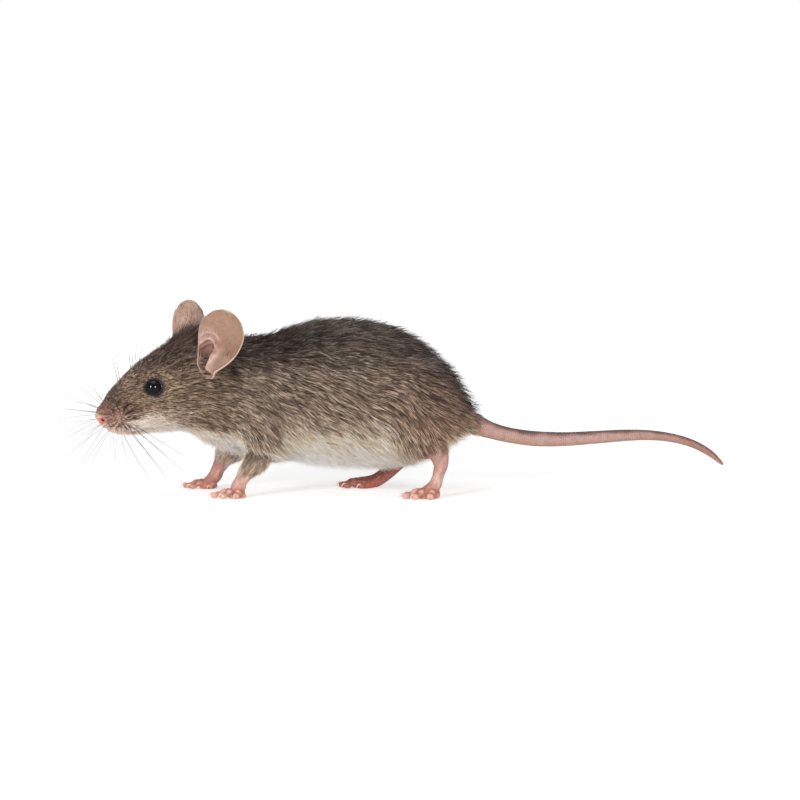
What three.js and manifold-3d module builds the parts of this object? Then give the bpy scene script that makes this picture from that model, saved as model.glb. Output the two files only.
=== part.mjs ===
// A live grey house mouse, life size, walking on a level floor: a still museum model of it.
// Millimetres, +Z up. The head is towards -X, turned a little to its own left, and the left side faces -Y.
// Every solid reaches out to the tips of the coat. Each is a row of rings skinned over, joined and cut with
// its neighbours so that a thin gap parts them.
import * as THREE from "three";
import { mergeVertices } from "three/addons/utils/BufferGeometryUtils.js";
import Module from "manifold-3d";

const wasm = await Module();
wasm.setup();

// ---------------------------------------------------------------- driving dimensions

const GAP = 0.3; // clear space between neighbouring parts
const LEFT = -1; // sign of Y on the animal's left, the side towards -Y
const RIGHT = 1;

const HEAD_TURN = 0.35; // slope of the head's own axis in plan, towards the left
const NECK_FRONT = 25; // the neck bends between these two places
const NECK_BACK = 38;

// The body from the nose to the rump. Each row holds the place along X, the height of the widest level, the
// reach above it, the reach below it, the half width, and how much narrower the top is than the underside.
const BODY = [
  [1.5, 18.1, 0, 0, 0, 0],
  [2.0, 17.9, 1.5, 1.5, 1.5, 0],
  [3.2, 17.7, 3.6, 2.6, 2.5, 0.05],
  [5.4, 17.7, 6.4, 3.9, 3.8, 0.12],
  [8.8, 18.4, 9.2, 5.0, 5.1, 0.16],
  [12.2, 19.8, 10.5, 6.1, 6.6, 0.14],
  [15.4, 21.0, 11.4, 7.2, 7.9, 0.1],
  [19.6, 21.9, 12.9, 8.1, 9.0, 0.06],
  [25.0, 21.6, 13.3, 11.0, 9.3, 0.04],
  [31.0, 20.6, 13.7, 12.5, 9.6, 0.06],
  [36.5, 19.5, 15.0, 12.2, 10.6, 0.08],
  [42.0, 18.7, 17.5, 11.8, 11.8, 0.08],
  [48.5, 18.1, 19.7, 12.2, 12.9, 0.08],
  [56.0, 17.6, 20.2, 12.1, 13.5, 0.08],
  [63.0, 17.1, 19.4, 11.7, 13.5, 0.08],
  [69.0, 16.9, 16.8, 10.4, 12.6, 0.06],
  [74.0, 16.7, 13.0, 8.4, 10.4, 0.04],
  [77.9, 16.5, 8.5, 5.6, 7.2, 0],
  [80.6, 16.0, 3.8, 2.9, 3.8, 0],
  [82.2, 15.7, 0, 0, 0, 0],
];
const BODY_SIDES = 24;
const BODY_STEPS = 2; // rings for each row of BODY
const NOSE_END = 2; // rows of BODY at which the parts meet
const HEAD_END = 8.4;
const NECK_END = 10;
const BODY_END = BODY.length - 1;

// The eye, on the head's own axes: place along X, distance out from the middle plane, height and radius.
const EYE = { along: 12.3, out: 4.8, height: 23.7, radius: 1.8 };

// The ear's outline: share of its length, reach towards the rear, reach towards the front, and the half angle
// through which each edge curls, in radians.
const EAR_LENGTH = 15.2;
const EAR_THICKNESS = 0.6;
const EAR = [
  [0.0, 1.5, 1.9, 1.9, 1.9],
  [0.1, 2.8, 2.4, 1.75, 1.6],
  [0.22, 4.4, 2.9, 1.35, 1.3],
  [0.38, 5.5, 3.6, 0.95, 0.95],
  [0.56, 5.9, 4.4, 0.7, 0.75],
  [0.74, 5.6, 4.4, 0.55, 0.6],
  [0.89, 4.2, 3.0, 0.45, 0.45],
  [0.97, 2.4, 1.4, 0.4, 0.4],
  [1.0, 1.0, 0.2, 0.4, 0.4],
];
const EAR_ACROSS = 8; // steps across the ear
const EAR_ROOT = { along: 22.2, out: 7.0, height: 26.3 };
const EAR_BOW = 1.4; // how far the ear's tip and root stand out of its cup
// How far each ear leans back and flares outwards for each millimetre up, and how far it turns to the front.
const EAR_SET = {
  left: { lean: 0.3, flare: 0.3, turn: 0.45 },
  right: { lean: 0.22, flare: 0.12, turn: 0.36 },
};

// The tail's middle line and radius.
const TAIL = [
  [78.5, 0, 16.0, 2.4],
  [82.6, 0, 14.6, 2.1],
  [85.6, 0.1, 13.5, 1.75],
  [89.4, 0.2, 12.55, 1.62],
  [94.8, 0.5, 11.8, 1.62],
  [101.2, 1.1, 11.65, 1.5],
  [107.5, 1.8, 11.95, 1.38],
  [113.8, 2.5, 12.3, 1.25],
  [119.4, 3.2, 12.3, 1.08],
  [124.4, 3.8, 11.7, 0.95],
  [129.0, 4.4, 10.4, 0.85],
  [132.8, 4.8, 8.4, 0.72],
  [135.9, 5.1, 5.7, 0.3],
];
const TAIL_SIDES = 10;
const TAIL_STEPS = 1.5; // rings for each row of TAIL
const TAIL_CUTS = [4.5, 8.5]; // rows of TAIL at which its three lengths meet

// A leg: the muscle at its top as a tilted ball, and the limb below it as rows of place along X, distance
// out, height, half width across the body and half width along it. The foot starts at the fractional row
// "ankle". It stands at its own place along X and out, and is turned outwards by its heading, in radians.
const LEGS = {
  fore_left: {
    side: LEFT,
    muscle: { at: [37.2, 7.6, 16.8], radii: [7.4, 4.4, 10.4], tilt: -0.16 },
    limb: [
      [37.2, 8.0, 12.4, 2.8, 4.3],
      [35.9, 8.5, 9.0, 2.4, 3.6],
      [34.1, 8.8, 6.0, 1.9, 2.3],
      [32.6, 8.7, 3.8, 1.7, 1.85],
      [31.6, 8.6, 2.3, 1.8, 1.8],
      [30.6, 8.6, 1.2, 1.7, 1.1],
    ],
    ankle: 2.2,
    foot: { at: [30.8, 8.6], heading: 0.25, kind: "fore" },
  },
  fore_right: {
    side: RIGHT,
    muscle: { at: [34.2, 7.4, 16.2], radii: [7.2, 4.4, 10.2], tilt: 0.1 },
    limb: [
      [31.2, 7.4, 12.4, 2.6, 4.8],
      [29.0, 8.2, 9.4, 2.2, 3.9],
      [27.2, 8.5, 7.0, 1.9, 2.3],
      [25.7, 8.6, 4.4, 1.6, 1.6],
      [24.9, 8.6, 2.7, 1.7, 1.6],
      [23.2, 8.6, 1.3, 1.7, 1.1],
    ],
    ankle: 2.7,
    foot: { at: [23.3, 8.6], heading: 0.05, kind: "fore" },
  },
  hind_left: {
    side: LEFT,
    muscle: { at: [67.2, 7.8, 18.6], radii: [10.6, 6.6, 12.0], tilt: 0.42 },
    limb: [
      [68.5, 7.8, 12.2, 3.4, 4.4],
      [72.8, 9.0, 10.4, 2.2, 3.4],
      [74.1, 9.5, 7.7, 1.6, 1.75],
      [73.5, 9.6, 5.0, 1.5, 1.6],
      [72.6, 9.6, 2.8, 1.8, 1.8],
      [71.2, 9.6, 1.4, 1.9, 1.3],
    ],
    ankle: 2.0,
    foot: { at: [71.4, 9.6], heading: 0.28, kind: "hind" },
  },
  hind_right: {
    side: RIGHT,
    muscle: { at: [65.6, 7.8, 18.4], radii: [10.6, 6.6, 12.0], tilt: 0.3 },
    limb: [
      [66.4, 8.2, 11.6, 3.2, 4.4],
      [66.6, 9.2, 8.3, 2.2, 2.6],
      [64.8, 9.5, 5.4, 1.6, 1.7],
      [62.2, 9.6, 3.0, 1.6, 1.55],
      [60.0, 9.6, 1.6, 1.8, 1.5],
      [57.6, 9.6, 1.3, 1.9, 1.2],
    ],
    ankle: 1.6,
    foot: { at: [57.6, 9.6], heading: 0.05, kind: "hind" },
  },
};
const LIMB_SIDES = 10;
const LIMB_STEPS = 1.3; // rings for each row of a limb

// The toes of each kind of foot, from the inner side outwards: how far forward of the foot's place and how
// far out each one starts, its direction away from the foot's heading, its length and its radius.
const TOES = {
  fore: [
    [-1.6, -1.3, -0.9, 1.2, 0.55],
    [0.3, -0.95, -0.22, 3.5, 0.68],
    [0.6, -0.2, 0.02, 4.6, 0.72],
    [0.3, 0.6, 0.3, 3.3, 0.72],
    [-0.7, 1.1, 0.95, 1.9, 0.74],
  ],
  hind: [
    [-0.9, -1.4, -0.6, 2.0, 0.7],
    [0.5, -0.85, -0.2, 3.7, 0.78],
    [0.9, -0.1, 0.02, 4.4, 0.8],
    [0.4, 0.75, 0.28, 3.3, 0.8],
    [-1.0, 1.25, 0.9, 2.3, 0.8],
  ],
};
const TOE_SIDES = 6;
const CLAW_SIDES = 4;
const CLAW_LENGTH = 1.2;
const SOLE = { fore: [1.9, 1.8, 1.4], hind: [2.7, 2.0, 1.6] }; // half length, half width, height

const COLOURS = {
  back: 0x5c514a,
  face: 0x7a6a5e,
  flank: 0x7d6c60,
  ear: 0xb9957f,
  skin: 0xcf9f92,
  tail: 0xbd968d,
  nose: 0xd39a8c,
  eye: 0x0b0a0a,
};

// ---------------------------------------------------------------- solids

/** Catmull-Rom value through rows of numbers at a fractional row. Ends turn over as a round pole does. */
function between(rows, at) {
  const i = Math.min(Math.floor(at), rows.length - 2);
  const t = at - i;
  const row = (k) => rows[THREE.MathUtils.clamp(k, 0, rows.length - 1)];
  // Past a pole the place comes back and every reach is turned to its other side.
  const beyond = (pole, next) => next.map((v, c) => (c < 2 ? v : -v));
  const before = i === 0 ? beyond(row(0), row(1)) : row(i - 1);
  const after =
    i === rows.length - 2 ? beyond(row(i + 1), row(i)) : row(i + 2);
  return row(i).map((v, c) => {
    const a = before[c];
    const b = row(i + 1)[c];
    const d = after[c];
    return (
      v +
      0.5 *
        t *
        (b - a + t * (2 * a - 5 * v + 4 * b - d + t * (3 * (v - b) + d - a)))
    );
  });
}

/** A closed solid over a row of rings of points. Each end is closed by a fan to its middle. */
function skin(rings) {
  const sides = rings[0].length;
  const places = rings.flat();
  const middle = (ring) =>
    ring.reduce((sum, p) => sum.add(p), new THREE.Vector3()).divideScalar(sides);
  const first = places.push(middle(rings[0])) - 1;
  const last = places.push(middle(rings[rings.length - 1])) - 1;
  const faces = [];
  for (let j = 0; j < sides; j++) {
    const k = (j + 1) % sides;
    for (let i = 0; i + 1 < rings.length; i++) {
      const low = i * sides;
      const high = low + sides;
      faces.push(low + j, low + k, high + k, low + j, high + k, high + j);
    }
    const end = (rings.length - 1) * sides;
    faces.push(first, k, j, last, end + j, end + k);
  }
  return solidOf(
    new THREE.BufferGeometry().setFromPoints(places).setIndex(faces),
  );
}

/** A solid of a closed three.js geometry, its faces turned outwards. */
function solidOf(geometry) {
  const bare = geometry.clone();
  bare.deleteAttribute("normal");
  bare.deleteAttribute("uv");
  const merged = mergeVertices(bare, 1e-4);
  const places = merged.attributes.position;
  const kept = [];
  const corner = (v) => new THREE.Vector3().fromBufferAttribute(places, v);
  let volume = 0;
  for (let i = 0; i < merged.index.count; i += 3) {
    const [a, b, c] = [0, 1, 2].map((k) => merged.index.getX(i + k));
    if (a === b || b === c || c === a) continue;
    volume += corner(a).dot(corner(b).cross(corner(c)));
    kept.push(a, b, c);
  }
  return new wasm.Manifold(
    new wasm.Mesh({
      numProp: 3,
      vertProperties: new Float32Array(places.array),
      triVerts: new Uint32Array(volume < 0 ? kept.reverse() : kept),
    }),
  );
}

/** A ball stretched to three radii and tilted about Y. */
function ball(at, radii, tilt = 0, around = 16, down = 10) {
  const shape = new THREE.SphereGeometry(1, around, down);
  shape.scale(...radii).rotateY(tilt).translate(...at);
  return solidOf(shape);
}

/** A tube through rows of [x, y, z, half width across, half width along] between two fractional rows. */
function limb(rows, from, to, sides, steps, grow = 0) {
  const line = new THREE.CatmullRomCurve3(
    rows.map(([x, y, z]) => new THREE.Vector3(x, y, z)),
    false,
    "catmullrom",
    0.5,
  );
  const count = Math.max(2, Math.ceil((to - from) * steps));
  const rings = [];
  for (let i = 0; i <= count; i++) {
    const at = THREE.MathUtils.lerp(from, to, i / count);
    const share = at / (rows.length - 1);
    const centre = line.getPoint(share);
    const ahead = line.getTangent(share);
    const across = new THREE.Vector3(0, 1, 0).addScaledVector(ahead, -ahead.y);
    across.normalize();
    const up = ahead.clone().cross(across);
    const low = rows[Math.floor(Math.min(at, rows.length - 1.001))];
    const high = rows[Math.ceil(Math.max(at, 0.001))];
    const blend = THREE.MathUtils.smoothstep(at - rows.indexOf(low), 0, 1);
    const wide = THREE.MathUtils.lerp(low[3], high[3], blend) + grow;
    const deep = THREE.MathUtils.lerp(low[4] ?? low[3], high[4] ?? high[3], blend) + grow;
    rings.push(
      Array.from({ length: sides }, (_, k) => {
        const turn = (2 * Math.PI * k) / sides;
        return centre
          .clone()
          .addScaledVector(across, wide * Math.cos(turn))
          .addScaledVector(up, deep * Math.sin(turn));
      }),
    );
  }
  return skin(rings);
}

// ---------------------------------------------------------------- the body

/** The middle plane's place in Y at a place along X, and its slope. */
function turnOf(x) {
  const neck = NECK_BACK - NECK_FRONT;
  const share = THREE.MathUtils.clamp((NECK_BACK - x) / neck, 0, 1);
  const beyond = Math.max(0, NECK_FRONT - x);
  return {
    y: -HEAD_TURN * (0.5 * neck * share * share + beyond),
    slope: HEAD_TURN * share,
  };
}

/** A point on the body's own axes: place along X, distance out to the right, and height. */
function onBody(x, out, z) {
  const { y, slope } = turnOf(x);
  const right = new THREE.Vector3(-slope, 1, 0).normalize();
  return new THREE.Vector3(x, y, z).addScaledVector(right, out);
}

/** The body between two fractional rows of BODY, grown outwards by a margin. */
function bodyLength(from, to, grow = 0) {
  const rings = [];
  const count = Math.ceil((to - from) * BODY_STEPS);
  for (let i = 0; i <= count; i++) {
    const at = THREE.MathUtils.lerp(from, to, i / count);
    const [x, middle, up, down, side, egg] = between(BODY, at);
    rings.push(
      Array.from({ length: BODY_SIDES }, (_, k) => {
        const turn = (2 * Math.PI * k) / BODY_SIDES;
        const rise = Math.sin(turn);
        const reach = (rise > 0 ? up : down) + grow;
        const out = (side + grow) * Math.cos(turn) * (1 - egg * rise);
        return onBody(x, out, middle + reach * rise);
      }),
    );
  }
  return skin(rings);
}

/** The ear on one side, in its own directions: up its length, across to the rear, and out of its cup. */
function ear(side, { lean, flare, turn }) {
  const { slope } = turnOf(EAR_ROOT.along);
  const heading = Math.atan(slope);
  const own = (back, out, up) =>
    new THREE.Vector3(back, side * out, up).applyAxisAngle(
      new THREE.Vector3(0, 0, 1),
      heading,
    );
  const along = own(lean, flare, 1).normalize();
  const open = own(-Math.sin(turn), Math.cos(turn), 0);
  open.addScaledVector(along, -open.dot(along)).normalize();
  const rear = along.clone().cross(open).multiplyScalar(-side);
  const root = onBody(EAR_ROOT.along, side * EAR_ROOT.out, EAR_ROOT.height);
  const point = (row, share, depth) => {
    const [length, back, front, curlBack, curlFront] = row;
    const [reach, curl] = share > 0 ? [back, curlBack] : [front, curlFront];
    const radius = reach / curl;
    const angle = share * curl;
    const bow = EAR_BOW * (2 * length - 0.9) ** 2;
    return root
      .clone()
      .addScaledVector(along, EAR_LENGTH * length)
      .addScaledVector(rear, (radius + depth) * Math.sin(angle))
      .addScaledVector(open, bow + radius - (radius + depth) * Math.cos(angle));
  };
  const rings = EAR.map((row) => {
    const ring = [];
    for (let i = 0; i <= EAR_ACROSS; i++)
      ring.push(point(row, (2 * i) / EAR_ACROSS - 1, 0));
    for (let i = EAR_ACROSS; i >= 0; i--)
      ring.push(point(row, (2 * i) / EAR_ACROSS - 1, EAR_THICKNESS));
    return ring;
  });
  return skin(rings);
}

// ---------------------------------------------------------------- the legs

/** One toe with its claw, from its root over the knuckle to the pad, and down to the claw's point. */
function toe(start, direction, length, radius) {
  const row = (reach, z, across, deep) => [
    start.x + direction.x * reach,
    start.y + direction.y * reach,
    z,
    across,
    deep,
  ];
  const digit = [
    row(-0.1 * length, 1.5, radius * 1.05, radius * 1.05),
    row(0.42 * length, radius + 0.95, radius, radius * 1.05),
    row(0.85 * length, radius + 0.05, radius * 0.95, radius * 1.05),
    row(1.05 * length, radius * 0.9, radius * 0.35, radius * 0.4),
  ];
  const claw = [
    row(length - 0.3 * CLAW_LENGTH, radius + 0.2, 0.34, 0.34),
    row(length + 0.5 * CLAW_LENGTH, radius + 0.1, 0.3, 0.3),
    row(length + CLAW_LENGTH, 0.2, 0.1, 0.1),
  ];
  return limb(digit, 0, digit.length - 1, TOE_SIDES, 1).add(
    limb(claw, 0, claw.length - 1, CLAW_SIDES, 1),
  );
}

/** Rows of a limb on the side asked for. */
function onSide(rows, side) {
  return rows.map(([x, out, ...rest]) => [x, side * out, ...rest]);
}

/** A foot: the lower part of the limb, the sole and its toes, cut flat at the floor. */
function foot({ side, limb: rows, ankle, foot: { at, heading, kind } }) {
  const [x, out] = at;
  const place = (forward, outward) =>
    new THREE.Vector2(
      x - forward * Math.cos(heading) + outward * Math.sin(heading),
      side * (out + forward * Math.sin(heading) + outward * Math.cos(heading)),
    );
  const [half, width, height] = SOLE[kind];
  const pad = place(-0.1, -0.1);
  let made = ball([pad.x, pad.y, 0.6 * height], [half, width, height], 0, 10, 6);
  made = made.add(
    limb(onSide(rows, side), ankle, rows.length - 1, LIMB_SIDES, LIMB_STEPS),
  );
  for (const [forward, outward, spread, length, radius] of TOES[kind]) {
    const start = place(forward, outward);
    const ahead = place(forward + Math.cos(spread), outward + Math.sin(spread));
    made = made.add(toe(start, ahead.sub(start), length, radius));
  }
  const floor = new THREE.BoxGeometry(40, 40, 10).translate(x, side * out, -5);
  return made.subtract(solidOf(floor));
}

/** The leg above the foot: the muscle at its top and the limb down to the ankle, clear of the foot. */
function leg({ side, muscle, limb: rows, ankle }) {
  const [x, out, z] = muscle.at;
  const own = onSide(rows, side);
  const end = rows.length - 1;
  const step = GAP / 2.5; // the gap at the ankle as a share of a row
  return ball([x, side * out, z], muscle.radii, muscle.tilt)
    .add(limb(own, 0, ankle, LIMB_SIDES, LIMB_STEPS))
    .subtract(limb(own, ankle - step, end, LIMB_SIDES, LIMB_STEPS, GAP));
}

// ---------------------------------------------------------------- assembly

/** A named mesh of a solid, placed at its own middle. */
function part(name, solid, colour, roughness = 0.8) {
  const { numProp, numVert, vertProperties, triVerts } = solid.getMesh();
  const places = new Float32Array(numVert * 3);
  for (let i = 0; i < numVert; i++)
    places.set(vertProperties.subarray(i * numProp, i * numProp + 3), i * 3);
  const geometry = new THREE.BufferGeometry();
  geometry.setAttribute("position", new THREE.BufferAttribute(places, 3));
  geometry.setIndex(new THREE.BufferAttribute(triVerts, 1));
  geometry.computeBoundingBox();
  const middle = geometry.boundingBox.getCenter(new THREE.Vector3());
  geometry.translate(-middle.x, -middle.y, -middle.z);
  geometry.computeVertexNormals();
  const material = new THREE.MeshStandardMaterial({
    color: colour,
    roughness,
    metalness: 0,
  });
  const mesh = new THREE.Mesh(geometry, material);
  mesh.name = name;
  mesh.position.copy(middle);
  return mesh;
}

const step = GAP / 5; // the gap between two lengths of the body, as a share of a row
const wholeBody = bodyLength(0, BODY_END, GAP); // what limbs, ears and tail keep clear of

const head = new THREE.Group();
let skull = bodyLength(NOSE_END + step, HEAD_END);
const sides = { left: LEFT, right: RIGHT };
for (const [name, side] of Object.entries(sides)) {
  const at = onBody(EYE.along, side * EYE.out, EYE.height).toArray();
  const eyeball = (radius) => ball(at, Array(3).fill(radius), 0, 12, 8);
  skull = skull.subtract(eyeball(EYE.radius + GAP));
  head.add(
    part("eye_" + name, eyeball(EYE.radius), COLOURS.eye, 0.05),
    part("ear_" + name, ear(side, EAR_SET[name]).subtract(wholeBody), COLOURS.ear),
  );
}
head.add(
  part("nose", bodyLength(0, NOSE_END), COLOURS.nose, 0.5),
  part("head", skull, COLOURS.face),
);

const torso = new THREE.Group();
torso.add(
  part("neck", bodyLength(HEAD_END + step, NECK_END), COLOURS.back),
  part("trunk", bodyLength(NECK_END + step, BODY_END), COLOURS.back),
);

const legs = new THREE.Group();
for (const [name, plan] of Object.entries(LEGS)) {
  legs.add(
    part("leg_" + name, leg(plan).subtract(wholeBody), COLOURS.flank),
    part("foot_" + name, foot(plan), COLOURS.skin, 0.6),
  );
}

const tail = new THREE.Group();
const cuts = [0, ...TAIL_CUTS, TAIL.length - 1];
["tail_root", "tail_middle", "tail_tip"].forEach((name, i) => {
  const from = cuts[i] + (i ? GAP / 6 : 0);
  const length = limb(TAIL, from, cuts[i + 1], TAIL_SIDES, TAIL_STEPS);
  tail.add(part(name, i ? length : length.subtract(wholeBody), COLOURS.tail, 0.6));
});

const mouse = new THREE.Group();
mouse.add(head, torso, legs, tail);

// The origin is on the floor, under the middle of the animal's outline in plan.
const box = new THREE.Box3().setFromObject(mouse);
const middle = box.getCenter(new THREE.Vector3());
mouse.position.set(-middle.x, -middle.y, -box.min.z);

export default mouse;
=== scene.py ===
"""A live grey house mouse, life size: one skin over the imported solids, with coat, eyes, claws and whiskers.

Shapes are worked out in millimetres on the animal's own axes, with the head towards -X and the left side
facing -Y, and Placing brings them into the frame's metres.
"""
import logging
import math
from dataclasses import dataclass, field
from enum import Enum

import bmesh
import bpy
import numpy as np
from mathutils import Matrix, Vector, kdtree


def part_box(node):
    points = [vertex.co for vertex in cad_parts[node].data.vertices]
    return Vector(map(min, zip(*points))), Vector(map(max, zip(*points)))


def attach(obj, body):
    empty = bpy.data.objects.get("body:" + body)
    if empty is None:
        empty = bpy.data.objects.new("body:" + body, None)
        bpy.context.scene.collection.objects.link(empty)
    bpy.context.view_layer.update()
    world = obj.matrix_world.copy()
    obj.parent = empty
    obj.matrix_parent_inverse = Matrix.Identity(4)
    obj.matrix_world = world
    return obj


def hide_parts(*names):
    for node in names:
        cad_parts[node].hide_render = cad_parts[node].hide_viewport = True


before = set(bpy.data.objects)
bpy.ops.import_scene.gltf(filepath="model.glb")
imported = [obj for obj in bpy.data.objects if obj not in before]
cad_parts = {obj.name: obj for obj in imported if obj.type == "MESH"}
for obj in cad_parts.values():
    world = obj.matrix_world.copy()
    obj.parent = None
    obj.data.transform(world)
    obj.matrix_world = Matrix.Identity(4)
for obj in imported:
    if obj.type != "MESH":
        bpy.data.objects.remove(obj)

logging.basicConfig(level=logging.INFO, format="%(name)s: %(message)s")
log = logging.getLogger("mouse")

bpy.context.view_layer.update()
MM = 0.001
BODY = "root"
Array = np.ndarray
Mesh = bpy.types.Mesh
Thing = bpy.types.Object
Socket = bpy.types.NodeSocket


# ---- small sums on arrays


def unit(vectors: Array) -> Array:
    """Returns the vectors at length 1."""
    return vectors / np.maximum(np.linalg.norm(vectors, axis=-1, keepdims=True), 1e-9)


def ease(low: float, high: float, value: Array) -> Array:
    """Returns 0 below low and 1 above high, or the other way where low is the greater, with soft ends."""
    share = np.clip((value - low) / (high - low), 0, 1)
    return share * share * (3 - 2 * share)


def bell(distance: Array, radius: float) -> Array:
    """Returns 1 at no distance, falling to 1/e at the radius."""
    return np.exp(-((distance / radius) ** 2))


def oval(*gaps: Array) -> Array:
    """Returns 1 where every gap is 0, falling to 1/e where together they come to 1."""
    far = gaps[0]
    for gap in gaps[1:]:
        far = np.hypot(far, gap)
    return bell(far, 1.0)


def turns(count: int) -> Array:
    """Returns angles spread evenly round a circle."""
    return np.linspace(0, 2 * math.pi, count, endpoint=False)


def flatten(vectors: Array, normals: Array) -> Array:
    """Returns the vectors laid into the planes that the normals stand on, at length 1."""
    return unit(vectors - normals * np.sum(vectors * normals, axis=-1, keepdims=True))


def ripple(points: Array, size: float, seed: int, waves: int = 6) -> Array:
    """Returns smooth chance values between about -1 and 1, that change over the given size.

    Args:
        points: Places, one a row.
        size: Length of one wave in millimetres.
        seed: Number that picks the pattern.
        waves: How many waves are added together.
    """
    rng = np.random.default_rng(seed)
    total = np.zeros(points.shape[:-1])
    for _ in range(waves):
        way = unit(rng.normal(size=3)) * 2 * math.pi / (size * rng.uniform(0.7, 1.5))
        total += np.sin(points @ way + rng.uniform(0, 2 * math.pi))
    return total / math.sqrt(waves)


def curve_through(rows: Array, at: Array, poles: bool = False) -> Array:
    """Returns Catmull-Rom values through rows of numbers at fractional rows.

    Args:
        rows: The rows that the curve passes through.
        at: Fractional rows, one for each value wanted.
        poles: Whether the ends turn over as a round pole does, so that every column but the first two
            comes back with its sign changed.
    """
    rows = np.asarray(rows, float)
    sign = np.where(np.arange(rows.shape[1]) < 2, 1, -1) if poles else 1
    first = rows[1] * sign if poles else 2 * rows[0] - rows[1]
    last = rows[-2] * sign if poles else 2 * rows[-1] - rows[-2]
    padded = np.vstack([first, rows, last])
    low = np.clip(np.floor(at).astype(int), 0, len(rows) - 2)
    t = (at - low)[:, None]
    a, b, c, d = (padded[low + k] for k in range(4))
    return b + 0.5 * t * (c - a + t * (2 * a - 5 * b + 4 * c - d + t * (3 * (b - c) + d - a)))


def steps_along(rows: Array, step: Array) -> Array:
    """Returns fractional rows that divide each row's length into steps no longer than its own step.

    Args:
        rows: The rows, of which the differences in all columns count as length.
        step: The longest step after each row, one value less than there are rows.
    """
    lengths = np.abs(np.diff(np.asarray(rows, float), axis=0)).max(axis=1)
    counts = np.maximum(1, np.ceil(lengths / step)).astype(int)
    parts = [i + np.arange(n) / n for i, n in enumerate(counts)]
    return np.append(np.concatenate(parts), len(rows) - 1)


def round_line(line: Array, sides: int) -> tuple[Array, Array]:
    """Returns directions round each point of a line, as the part of each to its side and the part upwards."""
    onward = unit(np.gradient(line, axis=0))
    across = flatten(np.tile([0.0, 1.0, 0.0], (len(line), 1)), onward)
    turn = turns(sides)[None, :, None]
    return np.cos(turn) * across[:, None], np.sin(turn) * np.cross(onward, across)[:, None]


def linear(red: int, green: int, blue: int) -> Array:
    """Returns a screen colour of 0 to 255 as linear values."""
    share = np.array([red, green, blue]) / 255
    return np.where(share > 0.04045, ((share + 0.055) / 1.055) ** 2.4, share / 12.92)


# ---- meshes


@dataclass
class Shape:
    """A closed shape: its points in millimetres, its faces, and values kept at each point."""

    points: Array
    faces: list
    values: dict = field(default_factory=dict)

    @staticmethod
    def lofted(rings: Array, values: dict | None = None) -> "Shape":
        """Returns a closed skin over rings of points, each end closed by a fan to its middle.

        Args:
            rings: Points as rings, sides and three values.
            values: Values kept at each point, as rings and sides.
        """
        count, sides = rings.shape[:2]
        index = np.arange(count * sides).reshape(count, sides)
        ahead = np.roll(index, -1, axis=1)
        quads = np.stack([index[:-1], ahead[:-1], ahead[1:], index[1:]], axis=-1).reshape(-1, 4)
        first, last = count * sides, count * sides + 1
        fans = [(first, b, a) for a, b in zip(index[0], ahead[0])]
        fans += [(last, a, b) for a, b in zip(index[-1], ahead[-1])]

        def with_ends(value: Array) -> Array:
            """Returns values as rows, with the means of the first and the last ring after them."""
            ends = np.stack([value[0].mean(axis=0), value[-1].mean(axis=0)]).reshape(2, -1)
            return np.concatenate([value.reshape(count * sides, -1), ends])

        held = {name: with_ends(value) for name, value in (values or {}).items()}
        return Shape(with_ends(rings), quads.tolist() + fans, held).outwards()

    def outwards(self) -> "Shape":
        """Returns the shape with its faces looking outwards."""
        faces = self.faces if self.volume() > 0 else [face[::-1] for face in self.faces]
        return Shape(self.points, faces, self.values)

    def volume(self) -> float:
        """Returns the volume inside, less than none where the faces look inwards."""
        corners = np.array([(*face, face[-1])[:4] for face in self.faces])
        a, b, c, d = (self.points[corners[:, k]] for k in range(4))
        return float(np.sum(a * (np.cross(b, c) + np.cross(c, d)))) / 6

    def object(self, name: str) -> Thing:
        """Returns a new object of the shape, still in millimetres."""
        mesh = bpy.data.meshes.new(name)
        mesh.from_pydata(self.points.tolist(), [], self.faces)
        for label, value in self.values.items():
            keep(mesh, label, value)
        return placed(name, mesh)


def placed(name: str, data: bpy.types.ID) -> Thing:
    """Returns a new object of the scene, made of a mesh, a lamp or a camera."""
    made = bpy.data.objects.new(name, data)
    bpy.context.scene.collection.objects.link(made)
    return made


def keep(mesh: Mesh, name: str, value: Array) -> None:
    """Stores a number or a colour at each point of a mesh.

    Args:
        mesh: The mesh.
        name: The attribute's name.
        value: One number a point, or four for a colour.
    """
    if name in mesh.attributes:
        mesh.attributes.remove(mesh.attributes[name])
    colour = value.ndim == 2 and value.shape[1] == 4
    layer = mesh.attributes.new(name, "FLOAT_COLOR" if colour else "FLOAT", "POINT")
    layer.data.foreach_set("color" if colour else "value", np.ascontiguousarray(value, np.float32).ravel())


def fetched(items: object, name: str, width: int, kind: type = np.float32) -> Array:
    """Returns one property of a mesh's items.

    Args:
        items: The mesh's points, edges or triangles, or the values of an attribute.
        name: The property's name.
        width: How many numbers it holds for each item.
        kind: Their type.
    """
    values = np.empty(len(items) * width, kind)
    items.foreach_get(name, values)
    return values.reshape(-1, width)


def kept(mesh: Mesh, name: str, width: int = 1) -> Array:
    """Returns the values that keep() stored, as an array of the given width."""
    values = fetched(mesh.attributes[name].data, "color" if width == 4 else "value", width).astype(float)
    return values if width > 1 else values[:, 0]


def places(mesh: Mesh) -> Array:
    """Returns a mesh's points as an array."""
    return fetched(mesh.vertices, "co", 3).astype(float)


def directions(mesh: Mesh) -> Array:
    """Returns a mesh's smooth normals, one a point."""
    return fetched(mesh.vertices, "normal", 3).astype(float)


def edges_of(mesh: Mesh) -> Array:
    """Returns the two points of each edge."""
    return fetched(mesh.edges, "vertices", 2, np.int32)


def move_points(mesh: Mesh, points: Array) -> None:
    """Puts a mesh's points at new places."""
    mesh.vertices.foreach_set("co", np.ascontiguousarray(points, np.float32).ravel())
    mesh.update()


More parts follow.
